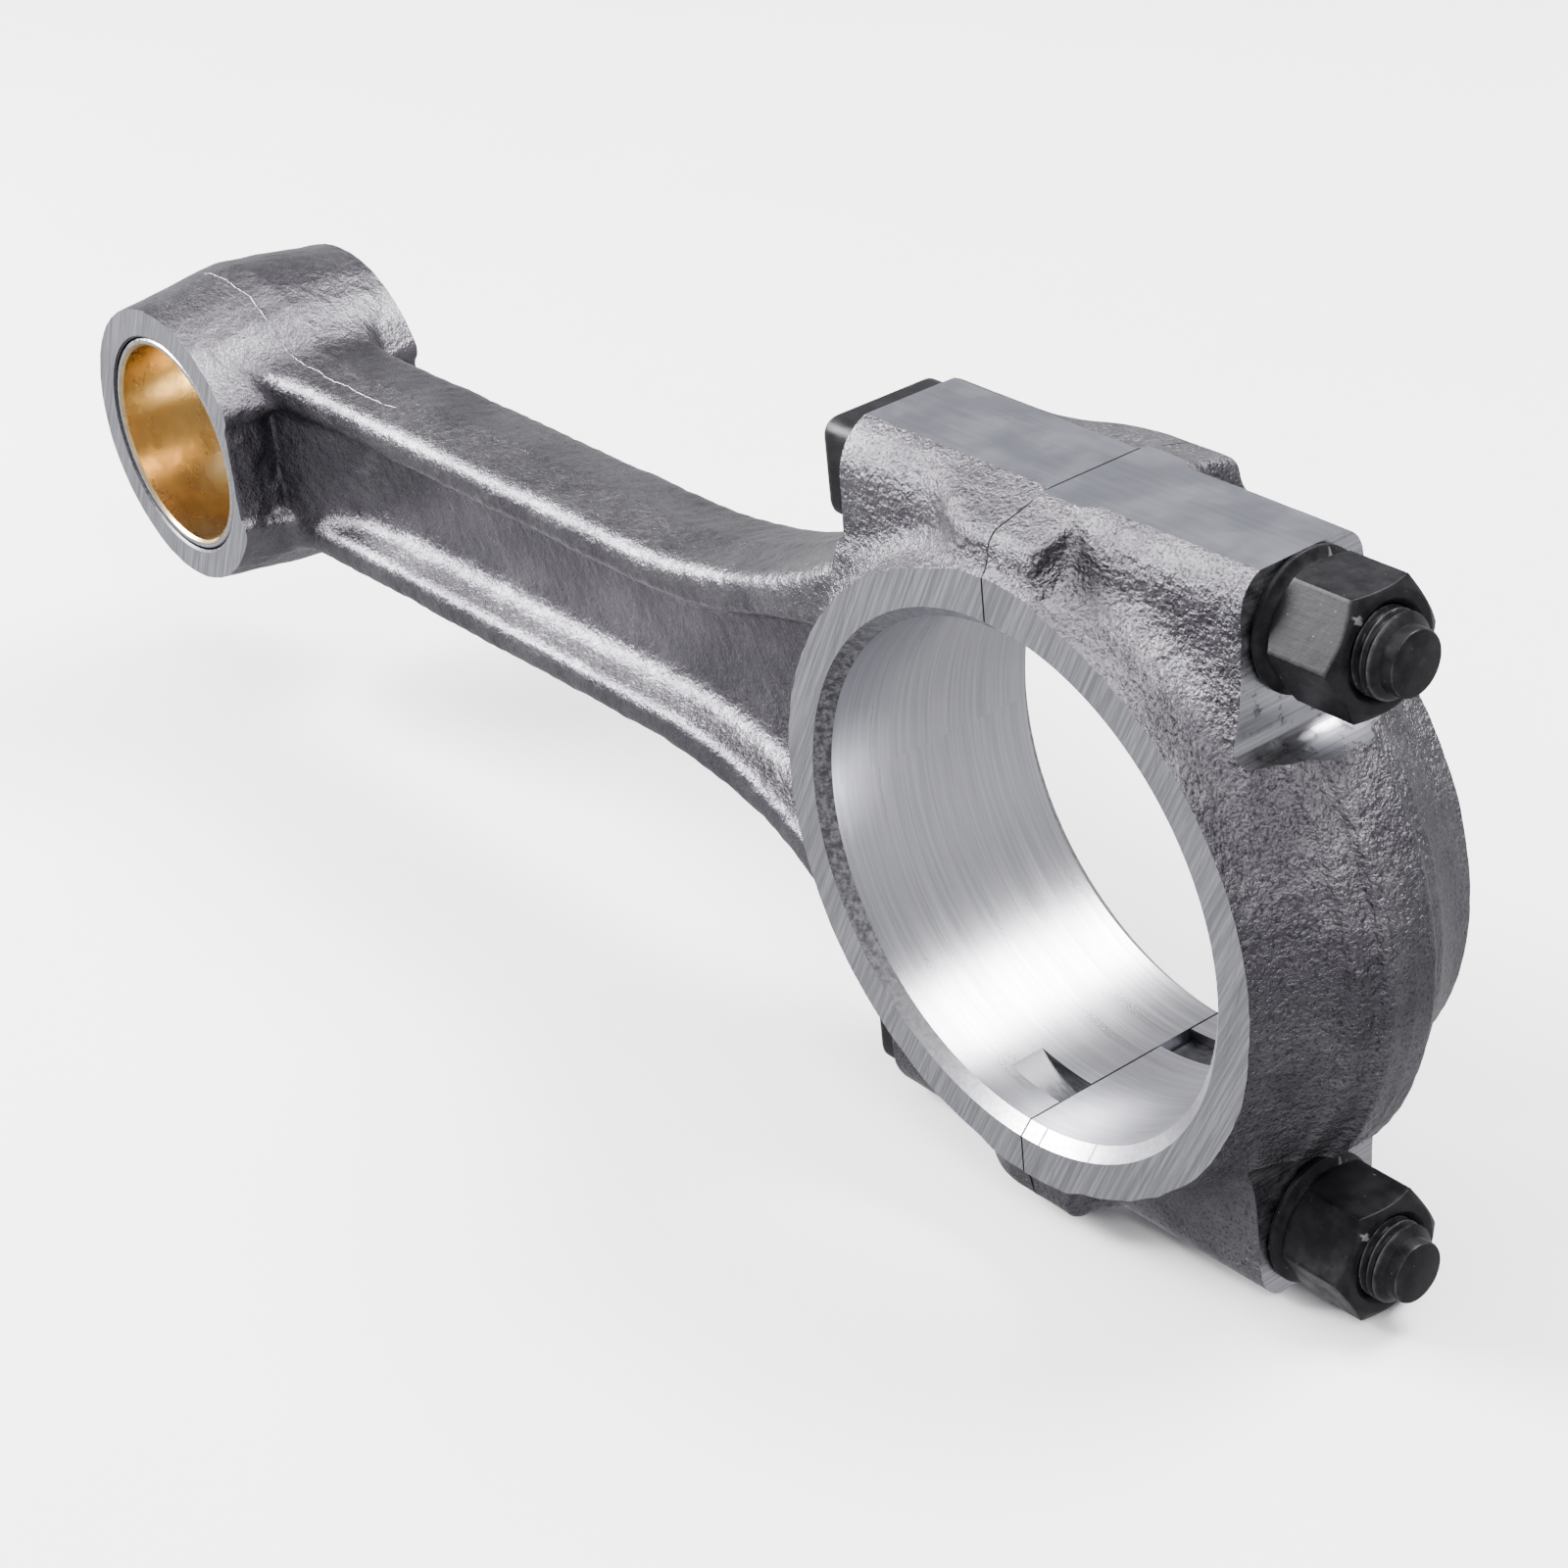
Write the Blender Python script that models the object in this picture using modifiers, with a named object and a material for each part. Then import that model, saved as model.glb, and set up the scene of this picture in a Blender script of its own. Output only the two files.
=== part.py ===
"""Connecting rod of a small industrial diesel engine, as an assembly of separate pieces.

Frame: metres, origin at the centre of the crank bore. +X runs along the rod's axis towards
the cap, +Y along the crank axis, and +Z from the lower bolt to the upper one.
"""

import math

import bmesh
import bpy
from mathutils import Matrix, Vector

# Clearance left between pieces that touch on the real rod.
GAP = 0.0003

# Big end. A "wall" is the metal left outside a hole or round it.
CRANK_BORE_RADIUS = 0.0365
BIG_END_WIDTH = 0.0385
THRUST_RING_WALL = 0.0069
RING_CREST_WALL = 0.0089
BORE_CHAMFER = 0.0018

# Small end and its bush.
CENTRE_DISTANCE = 0.214
SMALL_END_WIDTH = 0.0385
PIN_BORE_RADIUS = 0.0175
BUSH_LINING = 0.0006
BUSH_BACK = 0.0005
SMALL_END_WALL = 0.005
BUSH_SEAT_CHAMFER = 0.0006

# I-section shank.
SHANK_HEIGHT = 0.0314
SHANK_WIDTH = 0.0196
WEB_THICKNESS = 0.007
FLANGE_THICKNESS = 0.0053
FLARE_LENGTH = 0.060
SMALL_END_FILLET = 0.022
SMALL_END_BLEND = 0.013
SMALL_END_SINK = 0.006
SMALL_END_STEP = 0.0015
HEAD_BLEND_START = 0.024
HEAD_BLEND = 0.022
RECESS_END_WALL = 0.002
RECESS_END_RAMP = 0.013
RECESS_CORNER = 0.005
RECESS_WALL_SLOPE = 0.0022
RECESS_RING_WALL = 0.0016
RECESS_MOUTH_SHARE = 0.54
FORGING_DRAFT = math.radians(7.5)

# Shoulders, side pads and the bosses at the parting plane.
CLAMP_LENGTH = 0.0699
BOLT_TO_BORE_WALL = 0.0009
BOLT_TO_PAD_WALL = 0.003
PAD_WIDTH = 0.0148
HEAD_SHOULDER_WIDTH = 0.0252
NUT_SHOULDER_WIDTH = 0.0206
BOSS_WIDTH = 0.0354
BOSS_LENGTH = 0.0065
ROD_BOSS_RUN = 0.0137
CAP_BOSS_RUN = 0.003
BOSS_DROP = 0.0023
BOSS_END_DROP = 0.003
HEAD_SHOULDER_DROP = 0.0033
NUT_SHOULDER_DROP = 0.003
SHOULDER_BREAK_WIDTH_SHARE = 0.62
SHOULDER_BREAK_DROP_SHARE = 0.55
SHOULDER_FOOT_SHARE = 0.55
SHOULDER_FLARE = 0.0003
HEAD_FOOT_MARGIN = 0.0004
SPOTFACE_MARGIN = 0.0055

# Cap rib.
RIB_CREST_WALL = 0.0155
RIB_OFFSET = 0.005
RIB_TOP_WIDTH = 0.0076
RIB_FOOT_WIDTH = 0.015
RIB_SLOPE_HEIGHT = 0.0045

# Bolts and nuts.
BOLT_RADIUS = 0.0055
THREAD_RELIEF = 0.0003
THREAD_LENGTH = 0.0270
DOG_POINT_STEP = 0.001
DOG_POINT_LENGTH = 0.0019
DOG_POINT_CHAMFER = 0.0004
BOLT_PROTRUSION = 0.0046
HEAD_WIDTH = 0.0200
HEAD_HEIGHT = 0.0142
HEAD_THICKNESS = 0.0064
HEAD_CORNER = 0.0025
NUT_ACROSS_FLATS = 0.016
NUT_HEIGHT = 0.0126
NUT_COLLAR_HEIGHT = 0.0013
NUT_COLLAR_RADIUS = 0.0092
NUT_FACE_SHARE = 0.97
NUT_CHAMFER_ANGLE = math.radians(30)
NUT_COUNTERSINK = 0.0008
UPPER_NUT_TURN = math.radians(21.2)
LOWER_NUT_TURN = math.radians(-12.1)

# Locating notches for the bearing shells' tangs, in the lower half of the bore.
NOTCH_WIDTH = 0.0058
NOTCH_DEPTH = 0.002
NOTCH_OFFSET = 0.0092
NOTCH_CUTTER_RADIUS = 0.016

# Sizes that follow from the ones above.
BUSH_OUTER_RADIUS = PIN_BORE_RADIUS + BUSH_LINING + GAP + BUSH_BACK
BUSH_SEAT_RADIUS = BUSH_OUTER_RADIUS + GAP
SMALL_END_RADIUS = BUSH_SEAT_RADIUS + SMALL_END_WALL
THRUST_RADIUS = CRANK_BORE_RADIUS + THRUST_RING_WALL
BOLT_HOLE_RADIUS = BOLT_RADIUS + GAP
THREAD_RADIUS = BOLT_RADIUS - THREAD_RELIEF
DOG_POINT_RADIUS = THREAD_RADIUS - DOG_POINT_STEP
BOLT_AXIS_Z = CRANK_BORE_RADIUS + BOLT_TO_BORE_WALL + BOLT_HOLE_RADIUS
PAD_Z = BOLT_AXIS_Z + BOLT_HOLE_RADIUS + BOLT_TO_PAD_WALL
SEAT_X = CLAMP_LENGTH / 2
HEAD_SEAT_EDGE_Z = BOLT_AXIS_Z - HEAD_HEIGHT / 2 - HEAD_FOOT_MARGIN
FLARE_END_Z = HEAD_SEAT_EDGE_Z - HEAD_SHOULDER_WIDTH / 2 * math.tan(FORGING_DRAFT)
NUT_CORNER_RADIUS = NUT_ACROSS_FLATS / math.sqrt(3)
SPOTFACE_EDGE_Z = BOLT_AXIS_Z - NUT_CORNER_RADIUS - SPOTFACE_MARGIN
NUT_SEAT_X = SEAT_X + GAP
NUT_END_X = NUT_SEAT_X + NUT_HEIGHT
BOLT_TIP_X = NUT_END_X + BOLT_PROTRUSION
SHANK_HALF_HEIGHT = SHANK_HEIGHT / 2
SHANK_HALF_WIDTH = SHANK_WIDTH / 2
OVERRUN = 0.002  # how far a cutter runs past the face that it cuts
OVERLAP = 0.001  # how far joined blanks run into each other
REACH = 0.5  # past everything

# The exact solver leaves open edges where the bolt holes graze the forgings' slopes.
FORGING_SOLVER = "MANIFOLD"

BORE_SEGMENTS = 96
BOSS_SEGMENTS = 72
BOLT_SEGMENTS = 32

FORGED_GREY = (0.19, 0.18, 0.20)
BUSH_STEEL = (0.42, 0.42, 0.45)
BRONZE = (0.46, 0.27, 0.08)
BLACK_OXIDE = (0.018, 0.018, 0.022)


def remove_all_objects():
    for item in list(bpy.data.objects):
        bpy.data.objects.remove(item, do_unlink=True)


def make_collection(name):
    collection = bpy.data.collections.new(name)
    bpy.context.scene.collection.children.link(collection)
    return collection


def make_material(name, colour, roughness, metallic):
    material = bpy.data.materials.new(name)
    material.use_nodes = True
    shader = material.node_tree.nodes["Principled BSDF"]
    shader.inputs["Base Color"].default_value = (*colour, 1.0)
    shader.inputs["Roughness"].default_value = roughness
    shader.inputs["Metallic"].default_value = metallic
    return material


remove_all_objects()
PARTS = make_collection("connecting_rod")
CUTTERS = make_collection("cutters")


def object_from(name, bm, collection):
    bmesh.ops.recalc_face_normals(bm, faces=bm.faces)
    mesh = bpy.data.meshes.new(name)
    bm.to_mesh(mesh)
    bm.free()
    item = bpy.data.objects.new(name, mesh)
    collection.objects.link(item)
    if collection is CUTTERS:
        item.hide_render = True
        item.display_type = "WIRE"
    return item


def loft(name, sections, collection=CUTTERS):
    """Closed solid through sections of equally many points, each section the mirror of its own half."""
    bm = bmesh.new()
    rings = [[bm.verts.new(point) for point in section] for section in sections]
    count = len(rings[0])
    for ring, following in zip(rings, rings[1:]):
        for i in range(count):
            j = (i + 1) % count
            bm.faces.new((ring[i], ring[j], following[j], following[i]))
    for ring in (rings[0], rings[-1]):
        for i in range(count // 2 - 1):
            bm.faces.new((ring[i], ring[i + 1], ring[-2 - i], ring[-1 - i]))
    bmesh.ops.triangulate(bm, faces=bm.faces)
    return object_from(name, bm, collection)


def turned(name, profile, centre, direction, segments, collection=CUTTERS):
    """Solid of revolution: profile holds (radius, height along direction) down its outer side."""
    mesh = bpy.data.meshes.new(name)
    points = [(radius, 0.0, height) for radius, height in profile]
    edges = [(i, i + 1) for i in range(len(points) - 1)]
    if profile[0][0] > 0:
        edges.append((len(points) - 1, 0))
    mesh.from_pydata(points, edges, [])
    item = bpy.data.objects.new(name, mesh)
    collection.objects.link(item)
    item.location = centre
    item.rotation_euler = Vector(direction).to_track_quat("Z", "Y").to_euler()
    screw = item.modifiers.new("turn", "SCREW")
    screw.steps = segments
    screw.render_steps = segments
    screw.use_merge_vertices = True
    screw.merge_threshold = 0.00001
    if collection is CUTTERS:
        item.hide_render = True
        item.display_type = "WIRE"
    return item


def cylinder(name, radius, start, end, segments, collection=CUTTERS):
    """Plain cylinder between two points."""
    start, end = Vector(start), Vector(end)
    bm = bmesh.new()
    turn = (end - start).to_track_quat("Z", "Y").to_matrix().to_4x4()
    bmesh.ops.create_cone(
        bm, cap_ends=True, segments=segments, radius1=radius, radius2=radius,
        depth=(end - start).length, matrix=Matrix.Translation((start + end) / 2) @ turn,
    )
    return object_from(name, bm, collection)


def box(name, low, high, collection=CUTTERS):
    """Box between two corners."""
    low, high = Vector(low), Vector(high)
    bm = bmesh.new()
    size = Matrix.Diagonal((*(high - low), 1.0))
    bmesh.ops.create_cube(bm, size=1.0, matrix=Matrix.Translation((low + high) / 2) @ size)
    return object_from(name, bm, collection)


def combine(target, others, operation, solver="EXACT"):
    """Adds one Boolean modifier to target for each of the others."""
    for other in others:
        modifier = target.modifiers.new(other.name, "BOOLEAN")
        modifier.operation = operation
        modifier.solver = solver
        modifier.object = other


def finish_part(item, material, sharp_angle=35):
    """Gives a finished part its material and smooth shading between its sharp edges."""
    item.data.materials.append(material)
    item.data.shade_smooth()
    item.data.set_sharp_from_angle(angle=math.radians(sharp_angle))


def arc(centre_x, centre_z, radius, start, end, steps):
    """Points (x, z) on an arc between two angles in radians, ends included."""
    angles = [start + (end - start) * i / steps for i in range(steps + 1)]
    return [(centre_x + radius * math.cos(a), centre_z + radius * math.sin(a)) for a in angles]


def mirrored(chain):
    """Closed outline from the half of it above the rod's axis."""
    return chain + [(x, -z) for x, z in reversed(chain)]


def flare_arc(start_x, start_z, end_x, end_z, steps):
    """Arc that leaves level at its start and rises to its end."""
    run, rise = end_x - start_x, end_z - start_z
    radius = (run * run + rise * rise) / (2 * rise)
    turn = math.asin(run / radius)
    return arc(start_x, start_z + radius, radius, -math.pi / 2, -math.pi / 2 + turn, steps)


def grown(outline, distances):
    """Outline, given clockwise in (x, z), moved outwards at each point by that point's distance."""
    result = []
    for i, (x, z) in enumerate(outline):
        before, after = outline[i - 1], outline[(i + 1) % len(outline)]
        run, rise = after[0] - before[0], after[1] - before[1]
        share = distances[i] / math.hypot(run, rise)
        result.append((x - rise * share, z + run * share))
    return result


def shank_half_width(x):
    """Half width of the forged flange along the rod, wider where it runs into either end."""
    small_blend_x = -CENTRE_DISTANCE + SMALL_END_RADIUS + SMALL_END_BLEND - SMALL_END_SINK
    if x < small_blend_x:
        share = min(1.0, (small_blend_x - x) / SMALL_END_BLEND)
        return SHANK_HALF_WIDTH + (SMALL_END_WIDTH / 2 - SMALL_END_STEP - SHANK_HALF_WIDTH) * share**2
    head_blend_x = -THRUST_RADIUS - HEAD_BLEND_START
    if x > head_blend_x:
        share = min(1.0, (x - head_blend_x) / HEAD_BLEND)
        return SHANK_HALF_WIDTH + (HEAD_SHOULDER_WIDTH / 2 - SHOULDER_FLARE - SHANK_HALF_WIDTH) * share**2
    return SHANK_HALF_WIDTH


def drafted_plate(name, outline):
    """Forged plate, highest at its middle plane and drafted down to both sides."""
    halves = [shank_half_width(x) for x, z in outline]
    crest = grown(outline, [half * math.tan(FORGING_DRAFT) for half in halves])
    near = [(x, -half, z) for (x, z), half in zip(outline, halves)]
    middle = [(x, 0.0, z) for x, z in crest]
    far = [(x, half, z) for (x, z), half in zip(outline, halves)]
    return loft(name, [near, middle, far])


def shank_outline():
    """Side view of the shank from inside the small end to the parting plane."""
    reach = SMALL_END_RADIUS + SMALL_END_FILLET
    height = SHANK_HALF_HEIGHT + SMALL_END_FILLET
    run = math.sqrt(reach**2 - height**2)
    fillet_x = -CENTRE_DISTANCE + run
    lean = math.atan2(height, run)
    fillet = arc(fillet_x, height, SMALL_END_FILLET, math.pi + lean, 1.5 * math.pi, 8)
    flare_x = -SEAT_X - FLARE_LENGTH
    flare = flare_arc(flare_x, SHANK_HALF_HEIGHT, -SEAT_X + OVERLAP, FLARE_END_Z, 12)
    return mirrored(fillet + flare + [(OVERLAP, FLARE_END_Z)])


def recess_outline(inset, ramp):
    """Side view of the flange recess at one depth, inset from its mouth by the wall's slope."""
    end_x = -CENTRE_DISTANCE + SMALL_END_RADIUS + RECESS_END_WALL + ramp
    low_z = SHANK_HALF_HEIGHT - FLANGE_THICKNESS - inset
    corner = arc(end_x + RECESS_CORNER, low_z - RECESS_CORNER, RECESS_CORNER, math.pi, math.pi / 2, 5)
    ring = THRUST_RADIUS + RECESS_RING_WALL + inset
    mouth_z = HEAD_SEAT_EDGE_Z * RECESS_MOUTH_SHARE - inset
    mouth_x = -math.sqrt(ring**2 - mouth_z**2)
    flare = flare_arc(-SEAT_X - FLARE_LENGTH, low_z, mouth_x, mouth_z, 8)
    mouth_turn = math.atan2(mouth_z, mouth_x)
    ring_arc = arc(0.0, 0.0, ring, mouth_turn, math.pi, 6)[1:-1]
    return mirrored(corner + flare + ring_arc)


def recess_cutter(name, side):
    """Recess between the flanges, on one side of the web."""
    floor_y = WEB_THICKNESS / 2 * side
    mouth_y = SHANK_HALF_WIDTH * side
    open_y = (BIG_END_WIDTH / 2 + OVERRUN) * side
    floor = [(x, floor_y, z) for x, z in recess_outline(RECESS_WALL_SLOPE, RECESS_END_RAMP)]
    mouth = [(x, mouth_y, z) for x, z in recess_outline(0.0, 0.0)]
    above = [(x, open_y, z) for x, z in recess_outline(0.0, 0.0)]
    return loft(name, [floor, mouth, above])


def shoulder_section(x, half_width, drop, side):
    """Cross-section of a bolt shoulder at x: side pad on top, sloped edge, upright side."""
    half_pad = PAD_WIDTH / 2
    break_y = half_pad + (half_width - half_pad) * SHOULDER_BREAK_WIDTH_SHARE
    half = [
        (half_pad, PAD_Z),
        (break_y, PAD_Z - drop * SHOULDER_BREAK_DROP_SHARE),
        (half_width, PAD_Z - drop),
        (half_width + SHOULDER_FLARE, BOLT_AXIS_Z - BOLT_HOLE_RADIUS),
        (half_width + 2 * SHOULDER_FLARE, CRANK_BORE_RADIUS * SHOULDER_FOOT_SHARE),
    ]
    points = half + [(-y, z) for y, z in reversed(half)]
    return [(x, y, z * side) for y, z in points]


def rod_shoulder(name, side):
    head_half, boss_half = HEAD_SHOULDER_WIDTH / 2 - SHOULDER_FLARE, BOSS_WIDTH / 2
    return loft(name, [
        shoulder_section(-SEAT_X, head_half, HEAD_SHOULDER_DROP, side),
        shoulder_section(-BOSS_LENGTH - ROD_BOSS_RUN, head_half, HEAD_SHOULDER_DROP, side),
        shoulder_section(-BOSS_LENGTH, boss_half, BOSS_END_DROP, side),
        shoulder_section(OVERRUN, boss_half, BOSS_DROP, side),
    ])


def cap_shoulder(name, side, collection=CUTTERS):
    nut_half, boss_half = NUT_SHOULDER_WIDTH / 2, BOSS_WIDTH / 2
    neck_half = (nut_half * 3 + boss_half) / 4
    return loft(name, [
        shoulder_section(-OVERRUN, boss_half, BOSS_DROP, side),
        shoulder_section(BOSS_LENGTH, boss_half, BOSS_END_DROP, side),
        shoulder_section(BOSS_LENGTH + CAP_BOSS_RUN, neck_half, NUT_SHOULDER_DROP, side),
        shoulder_section(SEAT_X, nut_half, NUT_SHOULDER_DROP, side),
    ], collection)


def ring_blank(name):
    """Drafted ring of metal round the crank bore, flat on its two thrust faces."""
    half = BIG_END_WIDTH / 2
    crest = CRANK_BORE_RADIUS + RING_CREST_WALL
    profile = [(0.0, half), (THRUST_RADIUS, half), (crest, 0.0), (THRUST_RADIUS, -half), (0.0, -half)]
    return turned(name, profile, (0.0, 0.0, 0.0), (0.0, 1.0, 0.0), BORE_SEGMENTS)


def bore_cutter(name, radius, width, chamfer, centre_x, segments):
    """Through bore along Y with a chamfer at both faces."""
    end = width / 2 + OVERRUN
    mouth, land = radius + chamfer + OVERRUN, width / 2 - chamfer
    profile = [(0.0, end), (mouth, end), (radius, land), (radius, -land), (mouth, -end), (0.0, -end)]
    return turned(name, profile, (centre_x, 0.0, 0.0), (0.0, 1.0, 0.0), segments)


def bolt_hole(name, side):
    z = BOLT_AXIS_Z * side
    reach = SEAT_X + OVERRUN
    return cylinder(name, BOLT_HOLE_RADIUS, (-reach, 0.0, z), (reach, 0.0, z), BOLT_SEGMENTS)


def tang_notch(name, y):
    """Slot cut by a disc at the parting plane, deepest there, in the lower half of the bore."""
    centre_z = -(CRANK_BORE_RADIUS + NOTCH_DEPTH - NOTCH_CUTTER_RADIUS)
    start = (0.0, y - NOTCH_WIDTH / 2, centre_z)
    end = (0.0, y + NOTCH_WIDTH / 2, centre_z)
    return cylinder(name, NOTCH_CUTTER_RADIUS, start, end, BOSS_SEGMENTS)


def half_space(name, side):
    """Everything on one side of the parting plane, less half the gap."""
    low_x, high_x = sorted((-GAP / 2 * side, REACH * side))
    return box(name, (low_x, -REACH, -REACH), (high_x, REACH, REACH))


def build_rod_body(material):
    half = SMALL_END_WIDTH / 2
    crest = SMALL_END_RADIUS + half * math.tan(FORGING_DRAFT)
    boss = [(0.0, half), (SMALL_END_RADIUS, half), (crest, 0.0), (SMALL_END_RADIUS, -half), (0.0, -half)]
    centre, along = (-CENTRE_DISTANCE, 0.0, 0.0), (0.0, 1.0, 0.0)
    body = turned("rod_body", boss, centre, along, BOSS_SEGMENTS, PARTS)
    combine(body, [
        drafted_plate("shank_blank", shank_outline()), ring_blank("rod_ring_blank"),
        rod_shoulder("rod_shoulder_upper", 1), rod_shoulder("rod_shoulder_lower", -1),
    ], "UNION", FORGING_SOLVER)
    crank_bore = (CRANK_BORE_RADIUS, BIG_END_WIDTH, BORE_CHAMFER, 0.0, BORE_SEGMENTS)
    bush_seat = (BUSH_SEAT_RADIUS, SMALL_END_WIDTH, BUSH_SEAT_CHAMFER, -CENTRE_DISTANCE, BOSS_SEGMENTS)
    combine(body, [
        recess_cutter("recess_near", -1), recess_cutter("recess_far", 1),
        bore_cutter("rod_crank_bore", *crank_bore), bore_cutter("bush_seat", *bush_seat),
        bolt_hole("rod_hole_upper", 1), bolt_hole("rod_hole_lower", -1),
        tang_notch("rod_tang_notch", -NOTCH_OFFSET), half_space("cap_side", 1),
    ], "DIFFERENCE", FORGING_SOLVER)
    finish_part(body, material)


def cap_rib():
    """Stiffening rib round the cap's outside, on a centre moved towards the cap."""
    top, foot = RIB_TOP_WIDTH / 2, RIB_FOOT_WIDTH / 2
    crest = CRANK_BORE_RADIUS + RIB_CREST_WALL - RIB_OFFSET
    base = crest - RIB_SLOPE_HEIGHT
    profile = [(0.0, foot), (base, foot), (crest, top), (crest, -top), (base, -foot), (0.0, -foot)]
    return turned("cap_rib", profile, (RIB_OFFSET, 0.0, 0.0), (0.0, 1.0, 0.0), BORE_SEGMENTS)


def nut_spotface(name, side):
    """Milled seat for the nut, which leaves a ledge across the ring."""
    low_z, high_z = sorted((SPOTFACE_EDGE_Z * side, REACH * side))
    return box(name, (SEAT_X, -REACH, low_z), (REACH, REACH, high_z))


def build_cap(material):
    cap = cap_shoulder("big_end_cap", 1, PARTS)
    blanks = [cap_shoulder("cap_shoulder_lower", -1), ring_blank("cap_ring_blank"), cap_rib()]
    combine(cap, blanks, "UNION", FORGING_SOLVER)
    combine(cap, [
        nut_spotface("spotface_upper", 1), nut_spotface("spotface_lower", -1),
        bore_cutter("cap_crank_bore", CRANK_BORE_RADIUS, BIG_END_WIDTH, BORE_CHAMFER, 0.0, BORE_SEGMENTS),
        bolt_hole("cap_hole_upper", 1), bolt_hole("cap_hole_lower", -1),
        tang_notch("cap_tang_notch", NOTCH_OFFSET), half_space("rod_side", -1),
    ], "DIFFERENCE", FORGING_SOLVER)
    finish_part(cap, material)


def build_bush(back_material, lining_material):
    half = SMALL_END_WIDTH / 2 - GAP
    centre, along = (-CENTRE_DISTANCE, 0.0, 0.0), (0.0, 1.0, 0.0)
    layers = (
        ("small_end_bush_back", BUSH_OUTER_RADIUS - BUSH_BACK, BUSH_OUTER_RADIUS, back_material),
        ("small_end_bush_lining", PIN_BORE_RADIUS, PIN_BORE_RADIUS + BUSH_LINING, lining_material),
    )
    for name, inner, outer, material in layers:
        profile = [(outer, half), (outer, -half), (inner, -half), (inner, half)]
        tube = turned(name, profile, centre, along, BOSS_SEGMENTS, PARTS)
        finish_part(tube, material)


def build_bolt(name, side, material):
    """Fitted bolt along X, its block head on the rod's shoulder and its dog point past the nut."""
    z = BOLT_AXIS_Z * side
    seat_x = -SEAT_X - GAP
    start_x = seat_x - HEAD_THICKNESS / 2
    thread_x = BOLT_TIP_X - THREAD_LENGTH
    dog_x = BOLT_TIP_X - DOG_POINT_LENGTH
    stations = [
        (0.0, BOLT_TIP_X),
        (DOG_POINT_RADIUS - DOG_POINT_CHAMFER, BOLT_TIP_X),
        (DOG_POINT_RADIUS, BOLT_TIP_X - DOG_POINT_CHAMFER),
        (DOG_POINT_RADIUS, dog_x),
        (THREAD_RADIUS, dog_x - (THREAD_RADIUS - DOG_POINT_RADIUS)),
        (THREAD_RADIUS, thread_x),
        (BOLT_RADIUS, thread_x - (BOLT_RADIUS - THREAD_RADIUS)),
        (BOLT_RADIUS, start_x),
        (0.0, start_x),
    ]
    bolt = turned(name, stations, (0.0, 0.0, z), (1.0, 0.0, 0.0), BOLT_SEGMENTS, PARTS)
    low = (seat_x - HEAD_THICKNESS, -HEAD_WIDTH / 2, z - HEAD_HEIGHT / 2)
    head = box(name + "_head", low, (seat_x, HEAD_WIDTH / 2, z + HEAD_HEIGHT / 2))
    rounding = head.modifiers.new("corners", "BEVEL")
    rounding.width = HEAD_CORNER
    rounding.segments = 4
    rounding.limit_method = "WEIGHT"
    weights = head.data.attributes.new("bevel_weight_edge", "FLOAT", "EDGE")
    for edge in head.data.edges:
        a, b = (head.data.vertices[i].co for i in edge.vertices)
        weights.data[edge.index].value = 1.0 if abs(a.x - b.x) > HEAD_THICKNESS / 2 else 0.0
    combine(bolt, [head], "UNION")
    finish_part(bolt, material)


def build_nut(name, side, turn, material):
    """Hexagon nut along X with a round collar on its seat and chamfered corners at both ends."""
    z = BOLT_AXIS_Z * side
    centre, along = (0.0, 0.0, z), (1.0, 0.0, 0.0)
    hexagon_x = NUT_SEAT_X + NUT_COLLAR_HEIGHT
    start, end = (hexagon_x - OVERRUN, 0.0, z), (NUT_END_X + OVERRUN, 0.0, z)
    nut = cylinder(name, NUT_CORNER_RADIUS, start, end, 6, PARTS)
    axis = Matrix.Translation(centre)
    nut.data.transform(axis @ Matrix.Rotation(turn, 4, "X") @ axis.inverted())
    face_radius = NUT_ACROSS_FLATS / 2 * NUT_FACE_SHARE
    corner_radius = NUT_CORNER_RADIUS + GAP
    chamfer = (corner_radius - face_radius) * math.tan(NUT_CHAMFER_ANGLE)
    envelope = turned(name + "_envelope", [
        (0.0, NUT_END_X), (face_radius, NUT_END_X), (corner_radius, NUT_END_X - chamfer),
        (corner_radius, hexagon_x + chamfer), (face_radius, hexagon_x), (0.0, hexagon_x),
    ], centre, along, BOLT_SEGMENTS)
    combine(nut, [envelope], "INTERSECT")
    collar_end = (hexagon_x + OVERLAP, 0.0, z)
    collar = cylinder(name + "_collar", NUT_COLLAR_RADIUS, (NUT_SEAT_X, 0.0, z), collar_end, BOLT_SEGMENTS)
    combine(nut, [collar], "UNION")
    hole_radius = THREAD_RADIUS + GAP
    hole = turned(name + "_thread_hole", [
        (0.0, NUT_END_X + OVERRUN), (hole_radius + NUT_COUNTERSINK + OVERRUN, NUT_END_X + OVERRUN),
        (hole_radius, NUT_END_X - NUT_COUNTERSINK), (hole_radius, NUT_SEAT_X - OVERRUN),
        (0.0, NUT_SEAT_X - OVERRUN),
    ], centre, along, BOLT_SEGMENTS)
    combine(nut, [hole], "DIFFERENCE")
    finish_part(nut, material)


forged = make_material("forged_steel", FORGED_GREY, 0.5, 0.9)
bush_steel = make_material("bush_steel", BUSH_STEEL, 0.35, 1.0)
bronze = make_material("bush_bronze", BRONZE, 0.3, 1.0)
black = make_material("black_oxide", BLACK_OXIDE, 0.4, 0.7)

build_rod_body(forged)
build_cap(forged)
build_bush(bush_steel, bronze)
for place, side, nut_turn in (("upper", 1, UPPER_NUT_TURN), ("lower", -1, LOWER_NUT_TURN)):
    build_bolt(place + "_bolt", side, black)
    build_nut(place + "_nut", side, nut_turn, black)
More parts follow.
